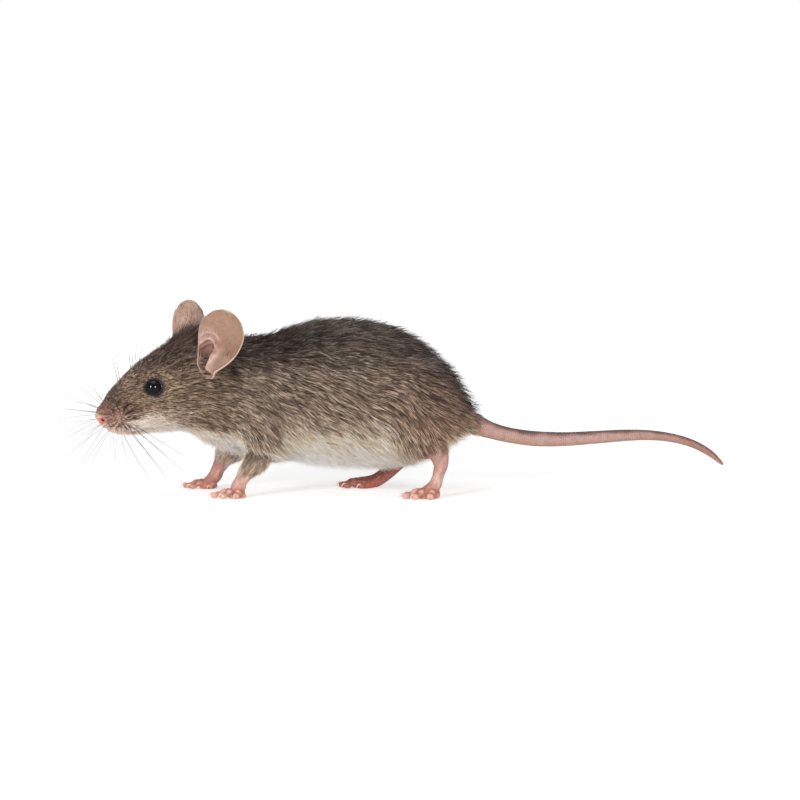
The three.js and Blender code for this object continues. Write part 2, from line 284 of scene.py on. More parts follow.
def made_real(source: Thing) -> Mesh:
    """Returns the mesh that an object's modifiers give, and takes the modifiers off it."""
    depsgraph = bpy.context.evaluated_depsgraph_get()
    depsgraph.update()
    mesh = bpy.data.meshes.new_from_object(
        source.evaluated_get(depsgraph), preserve_all_data_layers=True, depsgraph=depsgraph)
    source.modifiers.clear()
    return mesh


def neighbour_mean(values: Array, edges: Array, weight: Array | None = None) -> Array:
    """Returns the mean of the values at the points that each point shares an edge with.

    Args:
        values: One row of values a point.
        edges: The two points of each edge.
        weight: How much each point counts, or None for the same.
    """
    values = values.reshape(len(values), -1)
    weight = np.ones(len(values)) if weight is None else weight
    total = np.zeros_like(values)
    share = np.zeros(len(values))
    for a, b in ((0, 1), (1, 0)):
        share += np.bincount(edges[:, a], weight[edges[:, b]], len(values))
        for column in range(values.shape[1]):
            extra = values[edges[:, b], column] * weight[edges[:, b]]
            total[:, column] += np.bincount(edges[:, a], extra, len(values))
    return np.where(share[:, None] > 0, total / np.maximum(share, 1e-9)[:, None], values)


def neighbour_max(values: Array, edges: Array) -> Array:
    """Returns the greatest value among the points that each point shares an edge with."""
    most = np.zeros_like(values)
    np.maximum.at(most, edges[:, 0], values[edges[:, 1]])
    np.maximum.at(most, edges[:, 1], values[edges[:, 0]])
    return most


# ---- the animal's own axes


class Side(Enum):
    """A side of the animal, with its sign in Y."""

    LEFT = -1
    RIGHT = 1


@dataclass(frozen=True)
class Spine:
    """The middle plane, which bends at the neck so that the head looks a little to its left."""

    turn: float = 0.35
    front: float = 25.0
    back: float = 38.0

    def bend(self, along: Array) -> tuple[Array, Array]:
        """Returns the plane's place in Y, and its slope, at places along the body."""
        neck = self.back - self.front
        share = np.clip((self.back - along) / neck, 0, 1)
        beyond = np.maximum(0, self.front - along)
        return -self.turn * (0.5 * neck * share * share + beyond), self.turn * share

    def axes(self, along: Array) -> tuple[Array, Array]:
        """Returns the directions backwards and to the right at places along the body."""
        slope = self.bend(along)[1]
        flat = np.zeros_like(slope)
        back = unit(np.stack([np.ones_like(slope), slope, flat], axis=-1))
        right = unit(np.stack([-slope, np.ones_like(slope), flat], axis=-1))
        return back, right

    def point(self, along: Array, out: Array, height: Array) -> Array:
        """Returns places given along the body, out to the right, and up."""
        along, out, height = np.broadcast_arrays(*(np.asarray(v, float) for v in (along, out, height)))
        middle = np.stack([along, self.bend(along)[0], height], axis=-1)
        return middle + self.axes(along)[1] * out[..., None]

    def own(self, points: Array) -> tuple[Array, Array, Array]:
        """Returns how far along, out to the right, and up points are."""
        along = points[..., 0].copy()
        for _ in range(5):
            middle, slope = self.bend(along)
            along += ((points[..., 0] - along) + slope * (points[..., 1] - middle)) / (1 + slope**2)
        middle = self.bend(along)[0]
        offset = np.stack([points[..., 0] - along, points[..., 1] - middle], axis=-1)
        out = np.sum(offset * self.axes(along)[1][..., :2], axis=-1)
        return along, out, points[..., 2]


@dataclass(frozen=True)
class Eye:
    """An eye on the head's own axes, the opening that its lids leave, and how far it looks ahead and up."""

    spine: Spine
    along: float = 12.3
    out: float = 4.8
    height: float = 23.7
    radius: float = 1.8
    opening: float = 1.7
    ahead: float = 0.28
    upward: float = 0.22

    def centre(self, side: Side) -> Array:
        """Returns the middle of the eyeball."""
        return self.spine.point(self.along, side.value * self.out, self.height)

    def gaze(self, side: Side) -> Array:
        """Returns the direction in which the eye looks."""
        back, right = self.spine.axes(np.array(self.along))
        return unit(right * side.value - back * self.ahead + np.array([0, 0, self.upward]))

    def away(self, points: Array, side: Side) -> Array:
        """Returns how far points are from the middle of the eyeball."""
        return np.linalg.norm(points - self.centre(side), axis=-1)


@dataclass(frozen=True)
class Placing:
    """Brings millimetres on the animal's own axes into the frame's metres."""

    offset: tuple

    @staticmethod
    def on_frame(eye: Eye) -> "Placing":
        """Returns the placing that puts the eyes where the frame's eyes are."""
        offsets = []
        for side in Side:
            low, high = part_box(f"eye_{side.name.lower()}")
            offsets.append((np.array(low) + np.array(high)) / 2 / MM - eye.centre(side))
        return Placing(tuple(np.mean(offsets, axis=0)))

    def metres(self, points: Array) -> Array:
        """Returns points in the frame's metres."""
        return (points + np.array(self.offset)) * MM

    def settle(self, mesh: Mesh) -> None:
        """Moves a mesh in millimetres into the frame."""
        move_points(mesh, self.metres(places(mesh)))


# ---- colours of the animal


class Part(Enum):
    """What a point of the skin belongs to. Points where two of them were joined hold 0."""

    BODY = 1
    LEG = 2
    EAR = 3
    TAIL = 4
    LID = 5

    def holds(self, part: Array) -> Array:
        """Returns which points belong to this, from the values kept at them."""
        return np.abs(part - self.value) < 0.5


def traits(part: Part, tone: Array, bare: Array | float, fleece: Array | float,
           rings: Array | float = 0.0) -> dict:
    """Returns the values that the skin keeps at its points.

    Args:
        part: What the points belong to.
        tone: Their colours, the last column of an array that has a row for each point.
        bare: How naked the skin is.
        fleece: How thickly hair grows on it.
        rings: Distance along the tail, or 0 off it.
    """
    rows = tone.shape[:-1]
    values = {"tone": np.concatenate([tone, np.ones(rows + (1,))], axis=-1)}
    for name, value in (("bare", bare), ("rings", rings), ("part", float(part.value)), ("fleece", fleece)):
        values[name] = np.broadcast_to(value, rows) + 0.0
    return values


def mouth_height(along: Array) -> Array:
    """Returns the height of the line between the lips at places along the head."""
    return np.interp(along, (2.6, 5.4, 8.5, 11.8), (15.5, 14.5, 14.15, 15.2))


@dataclass(frozen=True)
class Markings:
    """The colours of the coat and the bare skin, worked out from the place on the body."""

    spine: Spine
    gain: float = 1.75  # how much paler a single hair is than the shaded coat that it makes
    levels: tuple = (-0.82, -0.62, -0.43, -0.2, 0.12, 0.48, 0.85)
    trunk: tuple = ((236, 230, 222), (228, 218, 206), (206, 188, 168), (158, 140, 123), (117, 102, 89),
                    (129, 114, 101), (96, 87, 82))
    face: tuple = ((222, 206, 194), (212, 196, 182), (172, 152, 136), (138, 119, 103), (120, 102, 86),
                   (120, 103, 89), (96, 81, 73))
    rump: tuple = ((222, 208, 192), (196, 168, 142), (160, 134, 111), (134, 112, 94), (121, 101, 86),
                   (106, 88, 77), (90, 80, 76))
    pad: tuple = (158, 124, 112)
    nose: tuple = (146, 110, 96)
    tip: tuple = (206, 172, 152)
    # Red lining of the nostril, darkened with painted shade in its opening.
    nostril: tuple = (72, 14, 14)
    lip: tuple = (222, 176, 166)
    lid: tuple = (34, 30, 30)
    corner: tuple = (92, 74, 78)
    ear_inside: tuple = (137, 108, 91)
    ear_upper: tuple = (152, 123, 101)
    ear_outside: tuple = (196, 164, 146)
    ear_rim: tuple = (212, 188, 172)
    # Painted shade in the hollow of the ear.
    concha_shade: tuple = (142, 100, 92)
    foot: tuple = (176, 123, 105)
    # Painted shade in the creases of the feet and low down by the floor.
    crease: tuple = (150, 78, 66)
    tail_top: tuple = (104, 80, 78)
    tail_low: tuple = (173, 141, 132)
    # Place along, height and side of each limb's top and of the jaw, and how far the dark comes down there.
    sleeves: tuple = ((36.0, 13.6, -1, 0.45), (31.0, 14.0, 1, 0.45), (26.5, 15.6, -1, 0.5),
                      (24.5, 15.6, 1, 0.5), (70.0, 12.5, -1, 0.2), (66.5, 11.0, 1, 0.2))
    whisker_rows: tuple = ((8.0, 17.4), (7.5, 18.7), (6.6, 19.9))  # place along and height of each dark row of whisker roots, with their painted shadows

    def layers(self, tone: Array, *coats: tuple) -> Array:
        """Returns the tone under thin layers, each a colour and its share at each point."""
        for colour, share in coats:
            tone = tone + (linear(*colour) - tone) * share[..., None]
        return tone

    def ladder(self, level: Array, colours: tuple) -> Array:
        """Returns colours at levels from the belly, -1, to the back, 1."""
        steps = np.array([linear(*colour) for colour in colours])
        return np.stack([np.interp(level, self.levels, steps[:, k]) for k in range(3)], axis=-1)

    def coat(self, points: Array, level: Array) -> Array:
        """Returns the coat's colours.

        Args:
            points: Places in millimetres.
            level: How high each place is round the body, from -1 at the belly to 1 at the back.
        """
        along, out, height = self.spine.own(points)
        wide = np.abs(out)
        for place, rise, side, depth in self.sleeves:
            near = oval((points[..., 0] - place) / 5.0, (height - rise) / 4.4)
            level = level + depth * near * ease(5.5, 9.5, points[..., 1] * side)
        level = level - 0.42 * ease(15.0, 9.5, along) * ease(6.0, 7.5, along) * ease(0.0, -0.3, level)
        level = level + 0.4 * oval((along - 19.5) / 5.0, (height - 16.6) / 2.2)
        level = level + 0.05 * ripple(points, 9.0, 11) + 0.02 * ripple(points, 3.0, 12)
        trunk, face, rump = (self.ladder(level, colours) for colours in (self.trunk, self.face, self.rump))
        colour = trunk + (face - trunk) * ease(32, 21, along)[..., None]
        colour = colour + (rump - colour) * ease(58, 74, along)[..., None]
        turn, far = np.arctan2(height - 17.3, along - 5.4), np.hypot(height - 17.3, along - 5.4)
        streak = ease(0.3, 0.8, np.cos(11 * turn + 1.5 * ripple(points, 2.0, 13))) * bell(far - 2.1, 1.5)
        rows = [oval((along - at) / 1.1, (height - high - 0.4 * (along - at)) / 0.32)
                for at, high in self.whisker_rows]
        shadow = oval((along - 27.0) / 1.7, (height - 26.8) / 1.3)  # behind the ear's foot
        ring = bell(np.hypot(along - 12.6, height - 23.7) - 2.9, 0.9)  # round the eye
        lips, cheek = height - mouth_height(along), ease(0.8, 2.2, wide)
        return self.layers(
            colour,
            ((52, 43, 38), 0.8 * oval((along - 39) / 8, (height - 33.5) / 4.5)),  # nape
            ((68, 56, 50), 0.5 * oval((along - 19) / 4, (height - 32.5) / 4)),  # crown
            ((156, 131, 114), 0.8 * oval((along - 7.5) / 3.5, (height - 25) / 3.0)),  # bridge of the nose
            ((30, 22, 19), 0.85 * shadow * ease(4, 6, wide)),
            ((146, 128, 106), 0.5 * ring * ease(2, 4, wide)),
            (self.pad, 0.85 * self.on_pad(along, out, height, 3.0)),
            ((44, 28, 26), 0.95 * streak * cheek),  # streaks that fan out over the pad: dark hairs and whisker roots, with their painted shadows
            # rows of whisker roots, with their painted shadows
            *(((50, 32, 28), 0.85 * row * cheek) for row in rows),
            ((226, 192, 182), 0.7 * bell(lips + 0.4, 1.0) * ease(10.5, 8.5, along)),  # lips
            # corner of the mouth: painted shade where the lips meet
            ((104, 82, 76), 0.75 * bell(lips, 0.25) * ease(7.5, 8.5, along) * ease(12.4, 12, along)),
            (self.nose, ease(4.4, 2.8, along) * ease(15.6, 16.6, height)),
            (self.tip, ease(2.7, 1.8, along + 0.6 * (height - 17.5))))

    def paler(self, tone: Array) -> Array:
        """Returns the colours of single hairs from those of the coat that they make."""
        return tone * np.minimum(self.gain, 0.94 / tone.max(axis=-1, keepdims=True))

    def on_pad(self, along: Array, out: Array, height: Array, size: float) -> Array:
        """Returns how much places are on the whisker pads."""
        return bell(np.hypot(along - 5.0, (height - 17.0) * 1.1), size) * ease(0.8, 2.2, np.abs(out))


# ---- the body


@dataclass(frozen=True)
class Muscle:
    """A tilted ball of muscle at the top of a leg."""

    at: tuple
    radii: tuple
    tilt: float

    def distance(self, points: Array, side: Side) -> Array:
        """Returns about how far points are outside the muscle."""
        centre = np.array([self.at[0], side.value * self.at[1], self.at[2]])
        offset = points - centre
        c, s = math.cos(self.tilt), math.sin(self.tilt)
        own = np.stack([offset[..., 0] * c - offset[..., 2] * s, offset[..., 1],
                        offset[..., 0] * s + offset[..., 2] * c], axis=-1)
        near = np.linalg.norm(own / self.radii, axis=-1)
        slope = np.linalg.norm(own / np.square(self.radii), axis=-1)
        return near * (near - 1) / np.maximum(slope, 1e-6)


@dataclass
class Torso:
    """The body from the nose to the rump, with the shoulders and haunches grown into its sides."""

    spine: Spine
    muscles: tuple
    eye: Eye
    markings: Markings
    # Place along, height of the widest level, reach above, reach below, half width, narrowing of the top.
    rows: tuple = (
        (1.5, 18.1, 0, 0, 0, 0), (2.0, 17.9, 1.5, 1.5, 1.5, 0), (3.2, 17.7, 3.6, 2.6, 2.5, 0.05),
        (5.4, 17.7, 6.4, 3.9, 3.8, 0.12), (8.8, 18.4, 9.2, 5.0, 5.1, 0.16),
        (12.2, 19.8, 10.5, 6.1, 6.6, 0.14), (15.4, 21.0, 11.4, 7.2, 7.9, 0.1),
        (19.6, 21.9, 12.9, 8.1, 9.0, 0.06), (25.0, 21.6, 13.3, 11.0, 9.3, 0.04),
        (31.0, 20.6, 13.7, 12.5, 9.6, 0.06), (36.5, 19.5, 15.0, 12.2, 10.6, 0.08),
        (42.0, 18.7, 17.5, 11.8, 11.8, 0.08), (48.5, 18.1, 19.7, 12.2, 12.9, 0.08),
        (56.0, 17.6, 20.2, 12.1, 13.5, 0.08), (63.0, 17.1, 19.4, 11.7, 13.5, 0.08),
        (69.0, 16.9, 16.8, 10.4, 12.6, 0.06), (74.0, 16.7, 13.0, 8.4, 10.4, 0.04),
        (77.9, 16.5, 8.5, 5.6, 7.2, 0), (80.6, 16.0, 3.8, 2.9, 3.8, 0), (82.2, 15.7, 0, 0, 0, 0))
    sides: int = 148
    softness: float = 2.2  # how gently the muscles run into the trunk
    # Place along and the longest step between rings there.
    steps: tuple = ((1, 0.1), (3, 0.1), (4, 0.2), (12, 0.2), (22, 0.3), (34, 0.6), (60, 0.85), (80, 0.6))
    # Rise of each feature of the face, its place along, out and up, and its reach in each of these.
    features: tuple = (
        (0.45, (5.4, 3.3, 16.9), (2.2, 1.6, 1.6)),  # whisker pad
        (0.25, (2.7, 1.9, 18.2), (0.9, 0.8, 0.9)),  # wing of the nose
        (-0.7, (2.15, 1.15, 16.35), (0.45, 0.5, 0.3)),  # nostril
        (-0.5, (2.6, 1.65, 16.85), (0.45, 0.5, 0.28)),  # nostril's slit, back and up
        (0.28, (2.0, 1.2, 17.5), (0.7, 0.8, 0.35)),  # its upper rim
        (-0.35, (2.8, 0.6, 20.6), (1.6, 2.0, 1.6)),  # slope of the nose's top
        (-0.35, (9.4, 5.0, 21.4), (2.2, 2.0, 1.5)),  # hollow before the eye
        (0.3, (12.3, 5.6, 26.4), (2.6, 2.0, 0.9)),  # brow
        (0.25, (15.5, 7.0, 19.5), (3.5, 2.5, 2.6)))  # cheek
    # Place and reach of the pink before the nostril, and of the nostril and its slit.
    openings: tuple = (((2.7, 1.7, 16.8), (1.0, 0.9, 0.75)), ((2.15, 1.15, 16.35), (0.42, 0.5, 0.3)),
                       ((2.6, 1.65, 16.85), (0.42, 0.6, 0.3)))
    # Place along and the depth of the coat there.
    depths: tuple = ((1.5, 0.0), (3.0, 0.04), (6.0, 0.25), (12.0, 0.45), (20.0, 0.75), (30.0, 1.1),
                     (45.0, 1.3), (62.0, 1.45), (74.0, 1.9), (79.0, 1.9), (82.2, 1.2))

    def section(self, along: Array) -> Array:
        """Returns the middle height, reaches, half width and narrowing at places along the body."""
        at = np.linspace(0, len(self.rows) - 1, 400)
        table = curve_through(self.rows, at, poles=True)
        return np.stack([np.interp(along, table[:, 0], table[:, k]) for k in range(1, 6)], axis=-1)

    def level(self, points: Array) -> tuple[Array, Array, Array]:
        """Returns how high points are round the body, from -1 to 1, and their turns and places along it."""
        along, out, height = self.spine.own(points)
        middle, up, down, side, _ = np.moveaxis(self.section(along), -1, 0)
        rise = (height - middle) / np.maximum(np.where(height > middle, up, down), 0.3)
        turn = np.arctan2(rise, out / np.maximum(side, 0.3))
        return np.sin(turn), turn, along

    def outline(self) -> Array:
        """Returns the rings of the outline out to the tips of the coat."""
        rows = np.array(self.rows)
        step = np.interp(rows[:-1, 0], *np.array(self.steps).T)
        table = curve_through(rows, steps_along(rows, step), poles=True)[1:-1]
        along, middle, up, down, side, egg = (table[:, k, None] for k in range(6))
        turn = turns(self.sides)[None, :]
        rise = np.sin(turn)
        out = side * np.cos(turn) * (1 - egg * rise)
        high = np.where(rise > 0, up, down) * rise
        reach = np.hypot(out, high)
        scale = np.linspace(0.7, 1.5, 33)[:, None, None]
        outer = self.spine.point(along, out * scale, middle + high * scale)
        gap = reach * (scale - 1)
        for muscle, side_of in self.muscles:
            other = muscle.distance(outer, side_of)
            mix = np.clip(0.5 + 0.5 * (other - gap) / self.softness, 0, 1)
            gap = other + (gap - other) * mix - self.softness * mix * (1 - mix) * 0.6
        inside = gap < 0
        last = np.clip(len(scale) - 1 - np.argmax(inside[::-1], axis=0), 0, len(scale) - 2)
        low = np.take_along_axis(gap, last[None], axis=0)[0]
        high_gap = np.take_along_axis(gap, last[None] + 1, axis=0)[0]
        part = np.clip(-low / np.maximum(high_gap - low, 1e-6), 0, 1)
        size = scale[:, 0, 0][last] + part * (scale[1, 0, 0] - scale[0, 0, 0])
        return self.spine.point(along, out * size, middle + high * size)

    def relief(self, points: Array) -> Array:
        """Returns how far the features of the face stand out of the head, or sink in where less than 0."""
        along, out, height = self.spine.own(points)
        spots = np.stack([along, np.abs(out), height], axis=-1)
        lips = height - mouth_height(along)
        inside = (0.3 + 0.7 * ease(6.5, 8.5, along)) * ease(2.6, 3.6, along) * ease(12.2, 11.4, along)
        rise = -0.4 * bell(out, 0.2) * ease(3.2, 2.2, along) * ease(18.6, 17.4, height)  # philtrum
        rise = rise + (0.22 * bell(lips - 0.7, 0.5) - 0.5 * bell(lips, 0.22)) * inside  # upper lip, mouth
        for size, at, reach in self.features:
            rise = rise + size * np.exp(-(((spots - at) / reach) ** 2).sum(axis=-1))
        return rise

    def shape(self) -> Shape:
        """Returns the skin of the body, inside the outline by the coat's depth, with the face's features."""
        rings = self.outline()
        around = np.roll(rings, -1, axis=1) - np.roll(rings, 1, axis=1)
        onward = np.gradient(rings, axis=0)
        normals = unit(np.cross(onward, around))
        middle = rings.mean(axis=1, keepdims=True)
        if np.sum(normals * (rings - middle)) < 0:
            normals = -normals
        along = self.spine.own(rings)[0]
        depth = np.interp(along, *np.array(self.depths).T)
        points = rings + normals * (self.relief(rings) - depth)[..., None]
        for side in Side:
            points = self.open_eye(points, side)
        along, out, height = self.spine.own(points)
        level = self.level(points)[0]
        under = self.markings.coat(points, level) * (0.42 + 0.4 * ease(-0.3, -0.8, level))[..., None]
        bare = np.maximum(ease(3.4, 2.2, along), 0.6 * self.markings.on_pad(along, out, height, 2.6))
        return Shape.lofted(points, traits(Part.BODY, self.dressed(points, under), bare, self.fleece(points)))

    def fleece(self, points: Array) -> Array:
        """Returns how thickly the coat grows, from 0 on the nose, the lips and round the eyes to 1."""
        along, out, height = self.spine.own(points)
        start = 1.5 + 2.3 * bell(height - 16.8, 1.1)
        share = ease(0, 0.7, along - start)
        lips = bell(height - mouth_height(along), 0.4) * ease(12.0, 11.3, along) * ease(2.4, 3.2, along)
        share = share * (1 - 0.9 * lips) * (1 - 0.35 * self.markings.on_pad(along, out, height, 2.2))
        for side in Side:
            share = share * ease(1.95, 2.2, self.eye.away(points, side))
        return share

    def open_eye(self, points: Array, side: Side) -> Array:
        """Returns the points with the skin sunk behind the eyeball and drawn up to it round the lids."""
        centre = self.eye.centre(side)
        gaze = self.eye.gaze(side)
        offset = points - centre
        ahead = offset @ gaze
        away = np.linalg.norm(offset - ahead[..., None] * gaze, axis=-1)
        near = (ahead > -1.2) & (away < 5)
        ball = np.sqrt(np.maximum((self.eye.radius + 0.12) ** 2 - away**2, 0.0))
        collar = ball + (ahead - ball) * ease(self.eye.radius - 0.1, self.eye.radius + 2.2, away)
        sunk = np.minimum(collar, 0.1)
        target = collar + (sunk - collar) * ease(self.eye.opening + 0.05, self.eye.opening - 0.25, away)
        shift = np.where(near, target - ahead, 0.0)
        return points + shift[..., None] * gaze

    def dressed(self, points: Array, tone: Array) -> Array:
        """Returns the skin's colours with the nose, nostrils, lips, whisker pads and the rims of the eyes."""
        marks = self.markings
        along, out, height = self.spine.own(points)
        spots = np.stack([along, np.abs(out), height], axis=-1)
        pink, hole, slit = (np.linalg.norm((spots - at) / reach, axis=-1) for at, reach in self.openings)
        hollow, lips = np.minimum(hole, slit), height - mouth_height(along)
        tone = marks.layers(
            tone,
            ((150, 108, 98), 0.9 * marks.on_pad(along, out, height, 3.0)),
            (marks.nose, ease(3.8, 2.6, along)),
            (marks.tip, ease(2.7, 1.8, along + 0.6 * (height - 17.5))),
            (marks.lip, 0.9 * bell(lips + 0.4, 0.8) * ease(11, 9, along) * (0.4 + 0.6 * ease(4, 7, along))),
            ((84, 52, 50), 0.9 * bell(lips, 0.2) * ease(12, 11.4, along) * ease(7.0, 8.5, along)),  # corner of the mouth: painted shade where the lips meet
            ((220, 140, 128), 0.7 * bell(pink, 1.0)),
            ((206, 96, 86), 0.65 * ease(2.0, 1.2, hollow)),  # edge of the nostril
            # the nostril's red lining, darkened with painted shade in its opening
            (marks.nostril, ease(1.25, 0.75, hollow)))
        for side in Side:
            away = self.eye.away(points, side)
            tone = marks.layers(tone, (marks.corner, 0.85 * ease(3.0, 2.2, away)),
                                (marks.lid, ease(2.1, 1.95, away)))
        return tone


@dataclass
class Lid:
    """The thin dark rim of the lids round an eye."""

    eye: Eye
    side: Side
    markings: Markings
    thickness: float = 0.15
    point: float = 0.34  # how far the corners are drawn out
    slant: float = 0.12  # how much higher the rear corner is than the middle
    steps: int = 72
    sides: int = 10

    def shape(self) -> Shape:
        """Returns the rim, a ring of round section lying on the eyeball and drawn out at its two corners."""
        centre, gaze = self.eye.centre(self.side), self.eye.gaze(self.side)
        up = flatten(np.array([[0.0, 0.0, 1.0]]), gaze[None])[0]
        back = unit(np.cross(up, gaze))
        back = back if back[0] > 0 else -back
        turn = turns(self.steps)
        corner = bell(turn - math.pi, 0.4) + 0.7 * (bell(turn, 0.35) + bell(turn - 2 * math.pi, 0.35))
        corner = self.point * corner
        reach = self.eye.opening + corner
        across = np.cos(turn)[:, None] * back + np.sin(turn)[:, None] * up
        plane = unit(across + up * self.slant * np.cos(turn)[:, None]) * reach[:, None]
        high = np.sqrt(np.maximum((self.eye.radius + 0.06) ** 2 - np.minimum(reach, 1.75) ** 2, 0.05))
        line = centre + plane + gaze * (high - 0.35 * corner)[:, None]
        onward = unit(np.roll(line, -1, axis=0) - np.roll(line, 1, axis=0))
        outward = unit(line - centre)
        beside = np.cross(onward, outward)
        round_turn = turns(self.sides)[None, :, None]
        rings = (line[:, None] + self.thickness * (np.cos(round_turn) * outward[:, None]
                 + 1.35 * np.sin(round_turn) * beside[:, None]))
        index = np.arange(self.steps * self.sides).reshape(self.steps, self.sides)
        ahead, beyond = np.roll(index, -1, axis=0), np.roll(index, -1, axis=1)
        both = np.roll(ahead, -1, axis=1)
        faces = np.stack([index, ahead, both, beyond], axis=-1).reshape(-1, 4).tolist()
        tone = np.tile(linear(*self.markings.lid), (index.size, 1))
        return Shape(rings.reshape(-1, 3), faces, traits(Part.LID, tone, 1.0, 0.0)).outwards()


# ---- ears


@dataclass
class Ear:
    """One ear: a thin cupped leaf with the folds and the hollow of its inside."""

    side: Side
    lean: float
    flare: float
    turn: float
    spine: Spine
    markings: Markings
    length: float = 15.2
    thickness: float = 0.5
    root: tuple = (22.2, 7.0, 26.3)
    bow: float = 1.4
    stalk: float = 1.3  # how far the foot of the ear lies to the rear of it
    steps: int = 72
    across: int = 48
    # Share of the length, reach towards the rear and the front, and the half angle each edge curls through.
    rows: tuple = (
        (0.0, 2.0, 2.2, 1.8, 1.8), (0.055, 2.0, 2.3, 1.85, 1.7), (0.1, 2.9, 2.5, 1.75, 1.6),
        (0.22, 4.4, 2.9, 1.35, 1.3),
        (0.38, 5.5, 3.6, 0.95, 0.95), (0.56, 5.9, 4.4, 0.7, 0.75), (0.74, 5.6, 4.4, 0.55, 0.6),
        (0.89, 4.2, 3.0, 0.45, 0.45), (0.97, 2.4, 1.4, 0.4, 0.4), (1.0, 1.0, 0.2, 0.4, 0.4))

    def axes(self) -> tuple[Array, Array, Array]:
        """Returns the directions up the ear, across it to the rear, and out of its cup."""
        heading = math.atan(float(self.spine.bend(np.array(self.root[0]))[1]))
        c, s = math.cos(heading), math.sin(heading)

        def own(back: float, out: float, up: float) -> Array:
            y = self.side.value * out
            return np.array([back * c - y * s, back * s + y * c, up])

        along = unit(own(self.lean, self.flare, 1))
        facing = own(-math.sin(self.turn), math.cos(self.turn), 0)
        facing = unit(facing - along * (facing @ along))
        return along, -self.side.value * np.cross(along, facing), facing

    def folds(self, up: Array, over: Array, lift: Array) -> tuple[Array, Array, Array]:
        """Returns how far the inner face stands up in its folds, how far the leaf sinks, and the shade there.

        Args:
            up: Distance up the ear in millimetres.
            over: Distance across it towards the rear.
            lift: How far the curled leaf comes forward there.
        """
        high, wide = (up - 4.9) / 2.4, (over + 1.6) / 1.8
        ring, turn = np.hypot(high, wide), np.arctan2(high, wide)
        edge = np.interp(up, (0.9, 1.35, 1.9, 2.7, 4.7, 6.4), (1.4, 0.8, -0.1, -0.6, -0.05, 0.5))
        arch = ease(-0.5, 0.3, turn) * ease(3.4, 3.0, turn)
        first = bell((ring - 1.25) * 2.1, 0.42) * arch
        second = bell((ring - 1.8) * 2.1, 0.5) * ease(0.5, 1.2, turn) * ease(3.3, 2.7, turn)
        above = up - 6.5 - 1.0 * (over + 1.6)
        crus = bell(above, 0.35) * ease(0.4, -0.4, over) * ease(-3.6, -2.8, over)
        bead = bell(np.hypot(up - 3.3, (over + 2.1) * 0.8), 0.55)
        slope = bell(up - 4.2 - 0.5 * over, 0.2) * ease(0.1, -0.5, over) * ease(-2.4, -1.4, over)
        rise = 1.0 * first + 0.6 * second + 0.4 * crus + 0.45 * bead + 0.25 * slope
        lobe = ease(edge - 0.12, edge + 0.4, over) * ease(0.9, 1.6, up - 0.12 * over) * ease(7.4, 5.0, up)
        share = np.clip((over - edge) / (over[:, -1:] - edge), 0, 1)
        fill = np.maximum(lift[:, -1:] - lift, 0) + 0.5 * np.sin(share * math.pi) * ease(0, 0.3, 1 - share)
        rise = rise + 0.85 * lobe * fill
        slit = bell(over - 0.13 + 0.89 * up, 0.5) * ease(0.1, 0.5, up) * ease(2.6, 1.8, up) * (1 - lobe)
        hollow = ease(1.25, 0.4, ring) * ease(0.7, 1.6, up) * (1 - lobe)
        light = np.clip(0.6 * crus + 0.5 * bead + 0.5 * slope + 0.5 * ease(0.0, 0.8, above), 0, 1)
        shade = hollow * (1 - 0.7 * light) + 0.4 * bell((ring - 1.55) * 2.1, 0.35) * arch * (1 - lobe)
        calm = ease(0.0, 0.8, over - over[:, :1])
        return rise * calm, (0.8 * hollow + 0.8 * slit) * calm, np.clip(0.85 * shade + 1.3 * slit, 0, 1.4)

    def shape(self) -> Shape:
        """Returns the ear, with a rounded rim, a rolled lower rear edge and its inside's colours."""
        along, rear, facing = self.axes()
        place = self.spine.point(self.root[0], self.side.value * self.root[1], self.root[2])
        rows = np.array(self.rows)
        spread = 1 - (1 - np.linspace(0, 1, self.steps)) ** 1.4
        table = curve_through(rows, np.interp(spread, rows[:, 0], np.arange(len(rows))))
        table[0, 0] = -0.07
        even = np.linspace(-1, 1, self.across + 1)
        share = 0.5 * np.sin(even * math.pi / 2) + 0.5 * even
        v, back, front, curl_back, curl_front = (table[:, k, None] for k in range(5))
        reach = np.where(share > 0, back, front) + 0 * v
        bend = share * np.where(share > 0, curl_back, curl_front)
        middle = self.across // 2
        step = np.diff(share)[None]

        def run(values: Array) -> Array:
            parts = 0.5 * (values[:, 1:] + values[:, :-1]) * step
            total = np.concatenate([np.zeros((len(values), 1)), np.cumsum(parts, axis=1)], axis=1)
            return total - total[:, middle:middle + 1]

        across, lift = run(reach * np.cos(bend)), run(reach * np.sin(bend))
        lift = lift + self.bow * (2 * v - 0.9) ** 2
        up, over = self.length * v + 0 * share[None], share[None] * reach
        across = across + self.stalk * ease(2.4, 0.2, up)
        rise, sink, shade = self.folds(up, over, lift)
        edge = np.sqrt(np.maximum(1 - share[None] ** 6, 0)) * ease(1.02, 0.94, v)
        thin = self.thickness * (0.35 + 0.65 * edge)
        flat = ease(0.02, 0.12, v)

        def leaf(depth: Array) -> Array:
            sideways, outwards = across + depth * np.sin(bend), lift - depth * np.cos(bend)
            return (place + along * up[..., None] + rear * sideways[..., None] + facing * outwards[..., None])

        inner = leaf((sink * 0.75 - rise) * flat)
        outer = leaf(sink * 0.75 * flat + thin)
        rings = np.concatenate([inner, outer[:, ::-1]], axis=1)
        tone = self.colours(up, over, share[None] + 0 * v, v + 0 * share[None], rise, shade)
        inner_hair = 0.4 * ease(0.97, 0.85, np.abs(share[None])) * ease(0.25, 0.45, v)
        front_hair = 0.6 * ease(-0.35, -0.7, share[None])
        inner_hair = np.maximum(inner_hair, front_hair) * ease(0.97, 0.88, v)
        outer_hair = ease(0.97, 0.8, np.abs(share[None])) * ease(0.94, 0.84, v)
        hair = np.concatenate([inner_hair + 0 * up, (outer_hair + 0 * up)[:, ::-1]], axis=1)
        return Shape.lofted(rings, traits(Part.EAR, tone, 1.0, hair))

